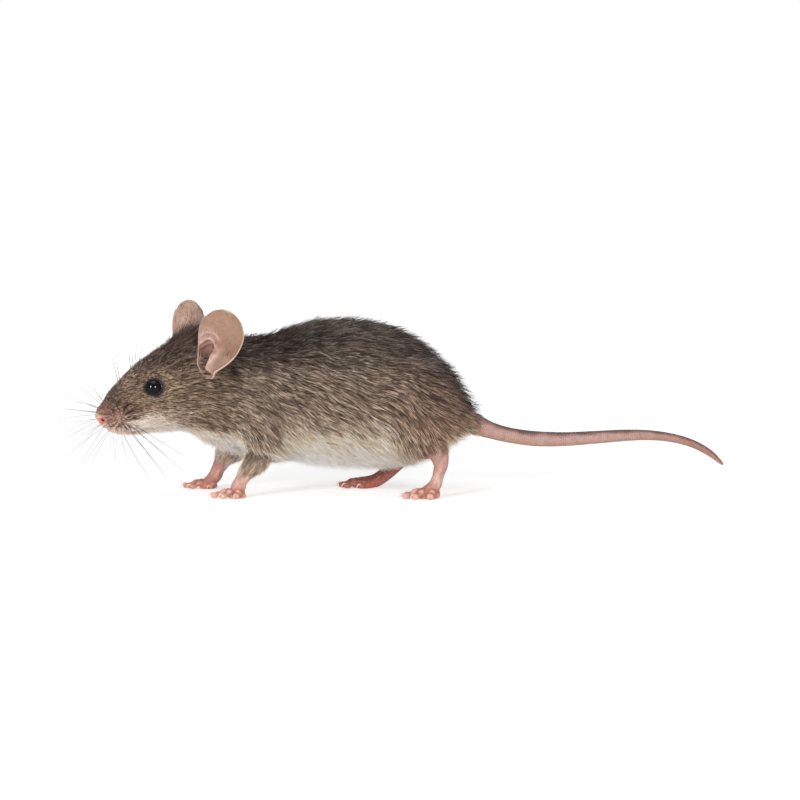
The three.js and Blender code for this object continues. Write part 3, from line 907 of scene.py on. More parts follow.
    def colours(self, up: Array, over: Array, share: Array, v: Array, rise: Array,
                shade: Array) -> Array:
        """Returns the colours of the inner and then the outer face.

        Args:
            up: Distance up the ear in millimetres.
            over: Distance across it towards the rear.
            share: Place across, from -1 at the front edge to 1 at the rear one.
            v: Share of the ear's length.
            rise: How far the folds stand up.
            shade: How much painted shade the place takes, the more the deeper it lies in the hollow or the
                slit.
        """
        marks = self.markings
        # painted highlight on the ridges of the folds
        ridge_highlight = np.clip(rise / 0.6, 0, 1) * ease(0.8, 0.5, v) * ease(3.5, 1.5, over)
        inner = marks.layers(
            np.tile(linear(*marks.ear_inside), up.shape + (1,)),
            (marks.ear_upper, ease(0.45, 0.8, v)),
            ((196, 160, 148), 0.85 * ease(0.14, 0.04, v)),  # foot
            # painted highlight on the ridges of the folds
            ((204, 172, 158), 0.7 * ridge_highlight),
            ((186, 156, 146), 0.5 * ease(-0.5, -2.0, over) * bell(v - 0.5, 0.16)),  # front of the middle
            # painted shade in the hollow and in the groove under the first fold
            (marks.concha_shade, 0.95 * np.minimum(shade, 1)),
            ((66, 42, 40), 0.85 * ease(1.0, 1.4, shade)),  # painted shade in the slit of the ear
            (marks.ear_rim, 0.8 * ease(0.96, 1.0, np.maximum(share, v))),
            ((150, 118, 106), 0.6 * ease(-0.45, -0.9, share) * ease(0.45, 0.2, v)))  # front edge
        outer = marks.layers(
            np.tile(linear(*marks.ear_outside), up.shape + (1,)),
            ((222, 190, 170), 0.6 * bell(np.hypot(share - 0.1, (v - 0.5) * 2.5), 0.7)),  # middle
            ((140, 106, 92), 0.55 * ease(0.5, 0.95, np.abs(share))),  # sides
            ((110, 86, 76), 0.5 * ease(0.3, 0.05, v)),  # foot
            (marks.ear_rim, 0.7 * ease(0.97, 1.0, np.maximum(np.abs(share), v))))
        return np.concatenate([inner, outer[:, ::-1]], axis=1)


# ---- tail


@dataclass
class Tail:
    """The tail, naked and ringed, tapering to a point."""

    markings: Markings
    # Place along, out and up, and radius.
    rows: tuple = (
        (76.5, 0, 16.6, 2.4), (79.5, 0, 15.8, 2.35), (82.6, 0, 14.6, 2.1), (85.6, 0.1, 13.5, 1.75),
        (89.4, 0.2, 12.55, 1.62), (94.8, 0.5, 11.8, 1.62), (101.2, 1.1, 11.65, 1.5),
        (107.5, 1.8, 11.95, 1.38), (113.8, 2.5, 12.3, 1.25), (119.4, 3.2, 12.3, 1.08),
        (124.4, 3.8, 11.7, 0.95), (129.0, 4.4, 10.4, 0.85), (132.8, 4.8, 8.4, 0.72),
        (135.3, 5.05, 6.3, 0.42), (135.9, 5.1, 5.7, 0.2))
    sides: int = 26
    step: float = 0.3

    def shape(self) -> Shape:
        """Returns the tail with its rings counted along it."""
        rows = np.array(self.rows)
        table = curve_through(rows, steps_along(rows, np.full(len(rows) - 1, self.step)))
        line, radius = table[:, :3], table[:, 3]
        run = np.concatenate([[0], np.cumsum(np.linalg.norm(np.diff(line, axis=0), axis=1))])
        around = sum(round_line(line, self.sides))
        points = line[:, None] + around * radius[:, None, None]
        marks = self.markings
        rise = around[..., 2] + 0.12 * ripple(points, 3, 21)
        tone = marks.layers(
            np.tile(linear(*marks.tail_low), points.shape[:2] + (1,)),
            ((168, 130, 112), 0.8 * ease(-0.15, -0.8, rise)),  # underside
            (marks.tail_top, ease(0.25, 0.95, rise + 0.4 * ease(120, 134, points[..., 0]))),
            ((140, 98, 86), 0.55 * ease(112, 132, points[..., 0])),  # tip
            ((120, 102, 92), 0.8 * ease(83.5, 80.5, points[..., 0])))  # root
        return Shape.lofted(points, traits(Part.TAIL, tone, 1.0, 1.0, np.maximum(run[:, None], 0.01)))


# ---- legs


@dataclass(frozen=True)
class Toe:
    """One toe: where it starts on its foot, its direction away from the foot's, its length and radius."""

    forward: float
    outward: float
    spread: float
    length: float
    radius: float


@dataclass(frozen=True)
class FootPlan:
    """What the feet of one pair share: the sole's half length, half width and height, and the toes."""

    sole: tuple
    toes: tuple


FORE = FootPlan((1.9, 1.8, 1.4), (
    Toe(-1.6, -1.3, -0.9, 1.2, 0.5), Toe(0.3, -0.95, -0.34, 3.4, 0.62), Toe(0.6, -0.25, -0.02, 4.5, 0.66),
    Toe(0.3, 0.65, 0.36, 3.4, 0.66), Toe(-0.6, 1.15, 0.98, 2.2, 0.68)))
HIND = FootPlan((2.7, 2.0, 1.6), (
    Toe(-0.9, -1.4, -0.7, 2.0, 0.64), Toe(0.5, -0.85, -0.3, 3.7, 0.7), Toe(0.9, -0.15, 0.0, 4.4, 0.72),
    Toe(0.4, 0.75, 0.34, 3.5, 0.72), Toe(-0.9, 1.3, 0.95, 2.5, 0.74)))


@dataclass
class Leg:
    """A leg: the muscle at its top, the limb below it and the foot."""

    name: str
    side: Side
    muscle: Muscle
    # Place along, distance out, height, half width across and half width along.
    limb: tuple
    foot: tuple
    heading: float
    sleeve: tuple  # heights between which the coat thins out to the bare foot
    plan: FootPlan
    markings: Markings
    slope: float = 0.0  # how much lower the coat ends at the front of the limb, for each millimetre
    flush: float = 0.12  # how red the skin is; the far legs' greater share is painted shade, as they stand in shadow
    voxel: float = 0.18
    coat_depth: float = 0.45
    sole_dip: float = 0.25  # below this height the sole is pressed flat

    def rows(self) -> Array:
        """Returns the limb's rows on its own side."""
        rows = np.array(self.limb, float)
        rows[:, 1] *= self.side.value
        return rows

    def bare_rows(self) -> Array:
        """Returns the limb's rows drawn in by the depth of the coat."""
        rows = self.rows()
        rows[:, 3:] -= self.coat_depth * ease(self.sleeve[0], self.sleeve[1] + 1.0, rows[:, 2])[:, None]
        return rows

    def tube(self, rows: Array, sides: int = 24, step: float = 0.25) -> Shape:
        """Returns a rounded tube.

        Args:
            rows: Place, half width across and half width along, one row a section.
            sides: Points round it.
            step: The longest step along it in millimetres.
        """
        rows = np.asarray(rows, float)
        table = curve_through(rows, steps_along(rows, np.full(len(rows) - 1, step)))
        beside, above = round_line(table[:, :3], sides)
        points = table[:, None, :3] + (beside * table[:, 3, None, None] + above * table[:, 4, None, None])
        return Shape.lofted(points)

    def spot(self, forward: float, outward: float) -> Array:
        """Returns a place on the floor given forward and outward on the foot."""
        c, s = math.cos(self.heading), math.sin(self.heading)
        return np.array([self.foot[0] - forward * c + outward * s,
                         self.side.value * (self.foot[1] + forward * s + outward * c)])

    def toe_line(self, toe: Toe) -> tuple[Array, Array]:
        """Returns where a toe starts on the floor's plane and the direction it points in."""
        start = self.spot(toe.forward, toe.outward)
        ahead = self.spot(toe.forward + math.cos(toe.spread), toe.outward + math.sin(toe.spread))
        return start, ahead - start

    def toe_shape(self, toe: Toe) -> Shape:
        """Returns a toe with a knuckle, folds under it and a round pad at its end."""
        start, ahead = self.toe_line(toe)
        r, length = toe.radius, toe.length
        parts = ((-0.12, 1.35, 1.0, 1.0), (0.2, r + 0.75, 0.92, 0.95), (0.42, r + 0.8, 0.97, 1.0),
                 (0.62, r + 0.3, 0.76, 0.8), (0.84, r * 1.02, 1.12, 1.06), (0.98, r * 0.95, 0.8, 0.82),
                 (1.05, r * 0.85, 0.3, 0.34))
        rows = [[*(start + ahead * share * length), height, r * wide, r * deep]
                for share, height, wide, deep in parts]
        return self.tube(rows, 20, 0.15)

    def shape(self) -> Thing:
        """Returns the limb, sole and toes run together into one closed shape, flat where it stands."""
        pieces = [self.tube(self.bare_rows())]
        mounds = [(-0.1, -0.1, self.plan.sole, 0.6 * self.plan.sole[2])]
        mounds += [(0.7, outward, (0.95, 0.8, 0.8), 0.55) for outward in (-0.9, 0.0, 0.9)]
        mounds += [(-1.2, outward, (0.95, 0.75, 0.8), 0.55) for outward in (-0.7, 0.7)]
        turn, dip = np.meshgrid(turns(24), np.linspace(-1.5, 1.5, 14))
        ball = np.stack([np.cos(turn) * np.cos(dip), np.sin(turn) * np.cos(dip), np.sin(dip)], axis=-1)
        for forward, outward, radii, rise in mounds:
            pieces.append(Shape.lofted(ball * radii + [*self.spot(forward, outward), rise]))
        pieces += [self.toe_shape(toe) for toe in self.plan.toes]
        heap = self.heaped(pieces)
        remesh = heap.modifiers.new("run together", "REMESH")
        remesh.mode = "VOXEL"
        remesh.voxel_size = self.voxel
        heap.data = mesh = made_real(heap)
        edges, points, low = edges_of(mesh), places(mesh), self.sole_dip
        for _ in range(2):
            points = points + 0.6 * (neighbour_mean(points, edges) - points)
        points[:, 2] = np.where(points[:, 2] < low, low + (points[:, 2] - low) * 0.35, points[:, 2])
        points[:, 2] = np.maximum(points[:, 2], 0.0)
        move_points(mesh, points)
        self.dress(mesh, points)
        return heap

    def heaped(self, pieces: list) -> Thing:
        """Returns one object that holds all the pieces as they are."""
        faces, count = [], 0
        for piece in pieces:
            faces += [[corner + count for corner in face] for face in piece.faces]
            count += len(piece.points)
        return Shape(np.concatenate([piece.points for piece in pieces]), faces).object("leg_" + self.name)

    def furred(self, points: Array) -> Array:
        """Returns 1 where the leg has its coat, falling to 0 at the bare foot."""
        middle = self.read_off(points[..., 2], self.rows()[:, :1])[..., 0]
        height = points[..., 2] - self.slope * (points[..., 0] - middle)
        return ease(*self.sleeve, height + 0.5 * ripple(points, 1.6, 41))

    def read_off(self, height: Array, table: Array) -> Array:
        """Returns the values of a table, which has a row for each of the limb's, read off at heights."""
        rows = self.rows()
        order = np.argsort(rows[:, 2])
        return np.stack([np.interp(height, rows[order, 2], column[order]) for column in table.T], axis=-1)

    def downward(self, points: Array) -> Array:
        """Returns the direction down the limb at each point."""
        return unit(self.read_off(points[..., 2], np.gradient(self.rows()[:, :3], axis=0)))

    def dress(self, mesh: Mesh, points: Array) -> None:
        """Stores the leg's colours on its mesh, redder with painted shade in its creases and low down by the
        floor, and paler with painted highlight on its ridges.
        """
        marks = self.markings
        furred = self.furred(points)
        edges = edges_of(mesh)
        smooth = points
        for _ in range(6):
            smooth = neighbour_mean(smooth, edges)
        hollow = np.sum((smooth - points) * directions(mesh), axis=1)
        height = points[:, 2]
        tone = marks.layers(
            np.tile(linear(*marks.foot), (len(points), 1)),
            ((194, 161, 151), 0.85 * ease(1.6, 3.6, height)),  # wrist or ankle
            ((162, 124, 115), 0.8 * ease(3.8, 7.5, height)),  # shank
            # painted shade in the creases
            (marks.crease, 0.85 * ease(0.0, 0.08, hollow)),
            ((228, 188, 174), 0.7 * ease(-0.01, -0.08, hollow)),  # painted highlight on the ridges
            # painted shade low down by the floor
            (marks.crease, 0.45 * ease(0.7, 0.1, height)),
            # reddening of the lower leg, more on the far legs, where it is painted shade
            ((150, 80, 66), self.flush * ease(10.0, 4.0, height)))
        mottle = 0.12 * ripple(points * (1.0, 1.0, 0.6), 1.0, 43) + 0.06 * ripple(points, 0.6, 44)
        tone = tone * (1 + mottle * ease(1.2, 2.4, height))[:, None]
        tone = marks.layers(tone, ((126, 104, 94), 0.75 * furred))
        for name, value in traits(Part.LEG, tone, 1 - furred, furred).items():
            keep(mesh, name, value)


# ---- the skin


@dataclass
class Skin:
    """The one skin of body, legs, ears and tail, joined so that no seam shows."""

    torso: Torso
    lids: list
    ears: list
    tail: Tail
    legs: list
    blend_rings: int = 9  # how many edges away from a seam the skin is still softened
    fade: float = 0.86  # what is left of the softening after each of them
    passes: int = 24
    pull: float = 0.65  # how far a pass takes a point towards the mean of its neighbours

    def build(self) -> Thing:
        """Returns the skin in millimetres, with its values at each point."""
        whole = self.torso.shape().object("skin")
        others = [ear.shape().object("ear_" + ear.side.name) for ear in self.ears]
        others += [self.tail.shape().object("tail")]
        others += [lid.shape().object("lid_" + lid.side.name) for lid in self.lids]
        others += [leg.shape() for leg in self.legs]
        for other in others:
            join = whole.modifiers.new(other.name, "BOOLEAN")
            join.operation = "UNION"
            join.solver = "MANIFOLD"
            join.object = other
        whole.data = mesh = made_real(whole)
        for other in others:
            bpy.data.objects.remove(other)
        self.clear(mesh)
        self.heal(mesh)
        log.info("skin: %d points, %d faces", len(mesh.vertices), len(mesh.polygons))
        return whole

    def clear(self, mesh: Mesh) -> None:
        """Removes the loose pairs of faces back to back that a join may leave."""
        solid = bmesh.new()
        solid.from_mesh(mesh)
        loose = [v for v in solid.verts if len({frozenset(f.verts) for f in v.link_faces}) < 2]
        bmesh.ops.delete(solid, geom=loose, context="VERTS")
        solid.to_mesh(mesh)
        solid.free()
        log.info("skin: %d loose points removed", len(loose))

    def heal(self, mesh: Mesh) -> None:
        """Softens the creases where parts meet, and fills in the values of the points made there."""
        edges, points = edges_of(mesh), places(mesh)
        seam = kept(mesh, "part") < 0.5
        known = (~seam).astype(float)
        for name, width in (("tone", 4), ("bare", 1), ("rings", 1), ("fleece", 1)):
            value = kept(mesh, name, width)
            value = value.reshape(len(value), -1)
            mean = neighbour_mean(value, edges, known)
            value[seam] = mean[seam]
            keep(mesh, name, value if width == 4 else value[:, 0])
        spread = seam.astype(float)
        for _ in range(self.blend_rings):
            spread = np.maximum(spread, self.fade * neighbour_max(spread, edges))
        for lid in self.lids:
            spread *= ease(2.2, 3.2, lid.eye.away(points, lid.side))
        spread = ease(0.2, 0.9, spread)[:, None]
        for _ in range(self.passes):
            points = points + self.pull * spread * (neighbour_mean(points, edges) - points)
        move_points(mesh, points)


# ---- the coat


@dataclass
class Hairs:
    """Tufts to be made: root, lie, lift, normal, size and colour of each."""

    root: Array
    normal: Array
    lie: Array
    length: Array
    width: Array
    lift: Array
    tone: Array
    patch: Array  # place of the root on an unwrap of the skin, as two shares of 1

    def chosen(self, index: Array) -> "Hairs":
        """Returns some of the tufts."""
        return Hairs(*(getattr(self, name)[index] for name in self.__dataclass_fields__))


@dataclass
class Coat:
    """The coat: thousands of thin tufts that follow the lie of the hair, in pieces of a bounded size."""

    torso: Torso
    legs: list
    markings: Markings
    cover: float = 6.6  # how many tufts lie over one another
    fill: float = 0.62  # share of its length times its width that a tuft covers
    seed: int = 5
    limit: int = 32000  # tufts in one piece
    patch: float = 0.003  # size of a tuft on the unwrap
    guard_share: float = 0.16  # share of the hairs that are long dark guard hairs
    guard_length: float = 1.3  # length, width and lift of these as shares of the others'
    guard_width: float = 0.8
    guard_lift: float = 2.3
    bend: float = 0.42  # share of a tuft's length at which it bends
    curl: float = 0.24  # how far it bends there, in radians
    depth: float = 0.06  # how deep in the skin it starts
    lock_share: float = 0.26  # share of the hairs that lead a lock
    lock_tie: float = 0.6  # how far a lock's hairs share its shade
    lock_shape: float = 0.2  # width of a lock as a share of its length
    loose_share: float = 0.3  # share of the hairs that belong to no lock
    drawn_most: float = 0.2  # how far a tip is drawn to its lock at most, as a share of its length
    proud_part: float = 0.1  # how far locks stand out or lie low, as a share of their length
    # Place along the body, then the length and width of a tuft and its lift at the root, in radians.
    sizes: tuple = (
        (1.5, 0.28, 0.07, 0.25), (4, 0.45, 0.075, 0.25), (8, 0.85, 0.095, 0.28), (13, 1.25, 0.105, 0.32),
        (19, 1.8, 0.115, 0.36), (26, 2.2, 0.12, 0.4), (38, 2.6, 0.12, 0.42), (56, 3.0, 0.13, 0.42),
        (72, 3.5, 0.13, 0.52), (82, 3.4, 0.13, 0.56))
    # Place along the body, and how far the hair of the flanks turns down there, in radians.
    slants: tuple = ((2, 0.1), (9, 0.05), (16, 0.0), (24, 0.25), (34, 0.6), (46, 0.5), (60, 0.5), (70, 0.7),
                     (80, 0.5))

    def sampled(self, mesh: Mesh, density: Array) -> tuple[Array, Array]:
        """Returns points spread over a mesh, and their normals.

        Args:
            mesh: The skin.
            density: Tufts for each square millimetre, one value a point of the mesh.
        """
        rng = np.random.default_rng(self.seed)
        mesh.calc_loop_triangles()
        corners = fetched(mesh.loop_triangles, "vertices", 3, np.int32)
        points, normals = places(mesh), directions(mesh)
        a, b, c = (points[corners[:, k]] for k in range(3))
        area = 0.5 * np.linalg.norm(np.cross(b - a, c - a), axis=1)
        running = np.cumsum(area * density[corners].mean(axis=1))
        count = int(running[-1])
        spots = (np.arange(count) + rng.uniform(size=count)) / count * running[-1]
        face = np.minimum(np.searchsorted(running, spots), len(corners) - 1)
        u, v = rng.uniform(size=(2, count))
        over = u + v > 1
        u, v = np.where(over, 1 - u, u), np.where(over, 1 - v, v)
        share = np.stack([1 - u - v, u, v], axis=1)
        root = np.einsum("ij,ijk->ik", share, points[corners[face]])
        normal = unit(np.einsum("ij,ijk->ik", share, normals[corners[face]]))
        return root, normal

    def size_at(self, along: Array) -> list:
        """Returns the length, width and lift of tufts at places along the body."""
        table = np.array(self.sizes)
        return [np.interp(along, table[:, 0], table[:, k]) for k in (1, 2, 3)]

    def body_hairs(self, skin: Mesh, part: Array, fleece: Array) -> Hairs:
        """Returns the tufts of head, neck, trunk and haunches.

        Args:
            skin: The whole skin.
            part: What each of its points belongs to.
            fleece: How thickly the coat grows at each.
        """
        torso, rng = self.torso, np.random.default_rng(self.seed + 1)
        length, width, _ = self.size_at(torso.spine.own(places(skin))[0])
        cover = self.cover / (self.fill * length * width) * fleece
        root, normal = self.sampled(skin, np.where(Part.BODY.holds(part), cover, 0))
        level, turn, along = torso.level(root)
        length, width, lift = self.size_at(along)
        guard = rng.uniform(size=len(root)) < self.guard_share
        length = length * rng.uniform(0.65, 1.2, len(root)) * (1 - 0.15 * ease(-0.5, -0.9, level))
        tuft = bell(np.hypot(along - 20.5, (level - 0.95) * 6), 2.6)
        _, out, height = torso.spine.own(root)
        fringe = oval((along - 20.8) / 1.7, (height - 28.0) / 3.2) * ease(4, 6, np.abs(out))
        tuft = np.maximum(tuft, 0.75 * fringe)
        longer = np.where(guard, self.guard_length + 0.2 * ease(0.3, 0.8, level), 1.0)
        length = length * longer * (1 + 0.9 * tuft)
        width = np.where(guard, width * self.guard_width, width)
        lift = lift * rng.uniform(0.5, 1.5, len(root))
        lift = lift * np.where(guard, self.guard_lift, 1.0) * (1 + 1.5 * tuft)
        beyond = 0.5 + (0.3 + 0.55 * guard) * ease(0.3, 0.9, level) + 0.8 * ease(64, 76, along) + 2.0 * tuft
        beyond = (beyond + 0.3 * ease(-0.7, -0.95, level)) * rng.uniform(0.3, 1.25, len(root))
        limit = np.interp(along, *np.array(torso.depths).T) + beyond
        lift = np.minimum(lift, np.arcsin(np.clip(1.15 * limit / length, 0, 0.95)))
        for side in Side:
            length = length * (0.45 + 0.55 * ease(2.0, 4.5, torso.eye.away(root, side)))
        tone = self.markings.coat(root, level + rng.normal(0, 0.1, len(root)))
        pale = ease(0.2, 0.6, tone.mean(axis=1))
        dark = (guard * ease(0.3, 0.7, level) * 0.6)[:, None]
        tone = self.markings.paler(tone) * (1 - dark)
        lie = self.lie(root, normal, level, along)
        patch = np.column_stack([(along - 1.5) / 81, (turn / (2 * math.pi)) % 1.0])
        return Hairs(root, normal, lie, length, width, lift, np.column_stack([tone, 1 - 0.75 * pale]), patch)

    def lie(self, root: Array, normal: Array, level: Array, along: Array) -> Array:
        """Returns the direction in which the hair lies: backwards, and downwards on the flanks.

        Args:
            root: Where the tufts start.
            normal: The skin's normals there.
            level: How high they are round the body, from -1 to 1.
            along: Their places along it.
        """
        spine = self.torso.spine
        back = spine.axes(along)[0]
        down = np.tile([0.0, 0.0, -1.0], (len(root), 1))
        flank = np.sqrt(np.maximum(1 - level**2, 0))
        angle = np.interp(along, *np.array(self.slants).T) * flank * ease(-0.95, -0.5, level)
        for leg in self.legs:
            x, _, z = leg.muscle.at
            near = oval((root[:, 0] - x) / 7.0, (root[:, 2] - (z - 6)) / 7.0)
            angle = angle + 0.5 * near * (np.sign(root[:, 1]) == leg.side.value)
        angle = angle + 0.13 * ripple(root, 8.0, 31) + 0.06 * ripple(root, 2.4, 32)
        way = np.cos(angle)[:, None] * flatten(back, normal) + np.sin(angle)[:, None] * flatten(down, normal)
        own = spine.own(root)
        side = np.sign(own[1])[:, None]
        pad = self.markings.on_pad(*own, 2.8)[:, None]
        centre = spine.point(np.full(len(root), 3.8), side[:, 0] * 3.0, np.full(len(root), 17.4))
        return flatten(unit(way) + 1.6 * pad * unit(root - centre), normal)

    def leg_hairs(self, skin: Mesh, part: Array, fleece: Array) -> Hairs:
        """Returns the short tufts of the limbs, thinning out down to the wrists and ankles."""
        sparse = 4.0 * (directions(skin)[:, 2] > -0.3) * (places(skin)[:, 2] > 1.0)
        root, normal = self.sampled(skin, np.where(Part.LEG.holds(part), 34 * fleece**1.3 + sparse, 0))
        owner = self.owner(root)
        rng = np.random.default_rng(self.seed + 2)
        furred, way = np.zeros(len(root)), np.zeros((len(root), 3))
        for k, leg in enumerate(self.legs):
            mine = owner == k
            furred = np.where(mine, leg.furred(root), furred)
            way = np.where(mine[:, None], leg.downward(root), way)
        lie = flatten(way + rng.normal(0, 0.2, (len(root), 3)), normal)
        length = (0.6 + 1.2 * furred) * rng.uniform(0.7, 1.3, len(root))
        width = 0.045 + 0.065 * furred
        lift = 0.3 * rng.uniform(0.5, 1.5, len(root))
        rear = ease(0.3, 0.9, np.abs(normal[:, 0]) - 0.3 * normal[:, 1] * np.sign(root[:, 1]))
        tone = self.markings.coat(root, -0.2 + 0.2 * ease(8, 12, root[:, 2]) - 0.5 * rear)
        tone = self.markings.layers(tone, ((190, 166, 154), 0.45 * ease(6.0, 4.0, root[:, 2])))
        tone = np.column_stack([self.markings.paler(tone), 0.6 - 0.35 * rear])
        turn = np.arctan2(normal[:, 1], normal[:, 0]) / (2 * math.pi) + 0.5
        patch = np.column_stack([0.01 + 0.24 * turn + 0.25 * owner, np.clip(root[:, 2] / 14, 0, 1)])
        return Hairs(root, normal, lie, length, width, lift, tone, patch)

    def owner(self, points: Array) -> Array:
        """Returns the number of the leg that each point is nearest to."""
        gaps = [points[:, :2] - leg.read_off(points[:, 2], leg.rows()[:, :2]) for leg in self.legs]
        return np.argmin([np.hypot(*gap.T) for gap in gaps], axis=0)

    def fine_hairs(self, skin: Mesh, part: Array, fleece: Array) -> Hairs:
        """Returns the sparse fine hairs of the ears and the tail, longer where the tail leaves the rump."""
        close = ease(84.0, 80.0, places(skin)[:, 0])
        on_tail = 5 + 16 * close * ease(-0.5, 0.4, directions(skin)[:, 2])
        cover = np.where(Part.EAR.holds(part), 15.0, np.where(Part.TAIL.holds(part), on_tail, 0))
        root, normal = self.sampled(skin, fleece * cover)
        tail = root[:, 0] > 60
        close = ease(84.0, 80.0, root[:, 0]) * tail
        rng = np.random.default_rng(self.seed + 3)
        way = np.where(tail[:, None], [1.0, 0.06, -0.3], [0.25, 0.0, 1.0])
        lie = flatten(way + rng.normal(0, 0.18, root.shape), normal)
        low = ease(33, 27, root[:, 2]) * ~tail
        inward = normal[:, 1] * np.where(root[:, 1] < -4, 1, -1) > 0
        length = np.where(tail, 0.8 + 1.3 * close, 1.0 + 0.4 * inward + low)
        length = length * rng.uniform(0.6, 1.3, len(root))
        width = np.where(tail, 0.04 + 0.06 * close, 0.05 + 0.01 * inward)
        lift = np.where(tail, 0.2 - 0.08 * close, 0.12) * rng.uniform(0.5, 1.4, len(root))
        dark = rng.uniform(size=len(root)) < 0.4 - 0.25 * low + (0.6 * low - 0.15) * inward
        tone = np.where(dark[:, None], linear(98, 74, 64), linear(212, 188, 170))
        fur = self.markings.paler(self.markings.coat(root, 0.7 * normal[:, 2] - 0.1))
        tone = tone + (fur - tone) * (rng.uniform(size=len(root)) < 2 * close)[:, None]
        tone = np.column_stack([tone, np.where(close > 0.3, 0.8, 0.3)])
        share = np.where(tail, (root[:, 0] - 78) / 60 * 0.98, (root[:, 0] - 15) / 20 * 0.48)
        other = np.where(tail, 0.52 + 0.45 * (np.arctan2(normal[:, 2], normal[:, 1]) / (2 * math.pi) + 0.5),
                         0.24 * (root[:, 2] - 22) / 20 + 0.25 * (root[:, 1] > -4))
        return Hairs(root, normal, lie, length, width, lift, tone, np.column_stack([share, other]))

    def leaders(self, hairs: Hairs, tips: Array) -> Array:
        """Returns, for each tip, the number of the tip that leads its lock, a chance one near it.

        Args:
            hairs: The tufts, whose mean lie is the way that the locks are long.
            tips: Their tips.
        """
        rng = np.random.default_rng(self.seed + 4)
        way = unit(hairs.lie.mean(axis=0))
        spots = tips - (1 - self.lock_shape) * (tips @ way)[:, None] * way
        chosen = np.flatnonzero(rng.uniform(size=len(tips)) < self.lock_share)
        tree = kdtree.KDTree(len(chosen))
        for number, index in enumerate(chosen):
            tree.insert(spots[index], number)
        tree.balance()
        return chosen[[tree.find(spot)[1] for spot in spots]]

    def drawn(self, hairs: Hairs, tips: Array, leader: Array) -> Array:
        """Returns the tips drawn sideways into locks, each a little proud or low, but for a chance few."""
        rng = np.random.default_rng(self.seed + 5)
        pull = tips[leader] - tips
        pull -= hairs.lie * np.sum(pull * hairs.lie, axis=1, keepdims=True)
        far = np.linalg.norm(pull, axis=1)
        pull *= np.minimum(1, self.drawn_most * hairs.length / np.maximum(far, 1e-6))[:, None]
        free = rng.uniform(size=len(tips)) < self.loose_share
        tips = tips + pull * np.where(free, 0, 0.3 + 0.5 * rng.uniform(size=len(tips)))[:, None]
        proud = np.clip(rng.normal(0, 1, len(tips)), -1.0, 2.0)[leader]
        proud = proud * np.where(free, 0, self.proud_part * hairs.length)
        return tips + proud[:, None] * hairs.normal

    def mesh(self, name: str, hairs: Hairs, placing: Placing) -> Thing:
        """Returns one piece of the coat: a closed three-sided tuft of six faces for each hair.

        Args:
            name: The piece's name.
            hairs: Its tufts.
            placing: What brings them into the frame.
        """
        rng = np.random.default_rng(self.seed + 6)
        count = len(hairs.root)
        beside = np.cross(hairs.normal, hairs.lie)
        lift, reach = hairs.lift[:, None], hairs.length[:, None]
        first = np.cos(lift) * hairs.lie + np.sin(lift) * hairs.normal
        second = np.cos(lift - self.curl) * hairs.lie + np.sin(lift - self.curl) * hairs.normal
        root = hairs.root - self.depth * hairs.normal
        middle = root + self.bend * reach * first
        tip = middle + (1 - self.bend) * reach * second
        leader = self.leaders(hairs, tip)
        drawn = self.drawn(hairs, tip, leader)
        middle = middle + 0.35 * (drawn - tip)
        wide, deep = 0.5 * hairs.width[:, None] * beside, 0.55 * hairs.width[:, None] * hairs.normal
        points = np.stack([root, middle - wide, middle + deep, middle + wide, drawn], axis=1)
        faces = np.array([[0, 2, 1], [0, 3, 2], [0, 1, 3], [1, 2, 4], [2, 3, 4], [3, 1, 4]])
        each = points.shape[1]
        corners = (faces[None] + each * np.arange(count)[:, None, None]).reshape(-1)
        mesh = bpy.data.meshes.new(name)
        mesh.vertices.add(each * count)
        mesh.loops.add(len(corners))
        mesh.polygons.add(len(faces) * count)
        mesh.vertices.foreach_set("co", placing.metres(points.reshape(-1, 3)).astype(np.float32).ravel())
        mesh.loops.foreach_set("vertex_index", corners.astype(np.int32))
        mesh.polygons.foreach_set("loop_start", np.arange(0, len(corners), 3, dtype=np.int32))
        mesh.polygons.foreach_set("use_smooth", np.ones(len(faces) * count, bool))
        chance = rng.uniform(size=count)
        strand = self.lock_tie * chance[leader] + (1 - self.lock_tie) * chance
        keep(mesh, "tone", np.repeat(hairs.tone, each, axis=0))
        keep(mesh, "strand", np.repeat(strand, each))
        keep(mesh, "reach", np.tile([0, self.bend, self.bend, self.bend, 1.0], count))
        own = np.array([[0, 0], [-1, 1], [0, 0.8], [1, 1], [0, 2]]) * self.patch / 2
        spots = 0.004 + 0.992 * np.clip(hairs.patch, 0, 1)
        uv = (spots[:, None] + own[None]).reshape(-1, 2)[corners]
        layer = mesh.uv_layers.new(name="OFBake")
        layer.data.foreach_set("uv", np.clip(uv, 0, 1).astype(np.float32).ravel())
        mesh.update()
        mesh.validate()
        return placed(name, mesh)

    def build(self, skin: Thing, placing: Placing) -> list:
        """Returns the pieces of the coat, each under the limit of tufts."""
        grown = skin.data, kept(skin.data, "part"), kept(skin.data, "fleece")
        pieces = []
        body = self.body_hairs(*grown)
        order = np.argsort(body.patch[:, 0], kind="stable")
        chunks = np.array_split(order, math.ceil(len(order) / self.limit))
        for number, chunk in enumerate(chunks, 1):
            some = body.chosen(chunk)
            low, high = some.patch[:, 0].min(), some.patch[:, 0].max()
            some.patch[:, 0] = (some.patch[:, 0] - low) / (high - low)
            pieces.append(self.mesh(f"coat_body_{number}", some, placing))
        pieces.append(self.mesh("coat_legs", self.leg_hairs(*grown), placing))
        pieces.append(self.mesh("coat_fine", self.fine_hairs(*grown), placing))
        for piece in pieces:
            log.info("%s: %d faces", piece.name, len(piece.data.polygons))
        log.info("coat: %d faces", sum(len(piece.data.polygons) for piece in pieces))
        return pieces


# ---- whiskers and claws


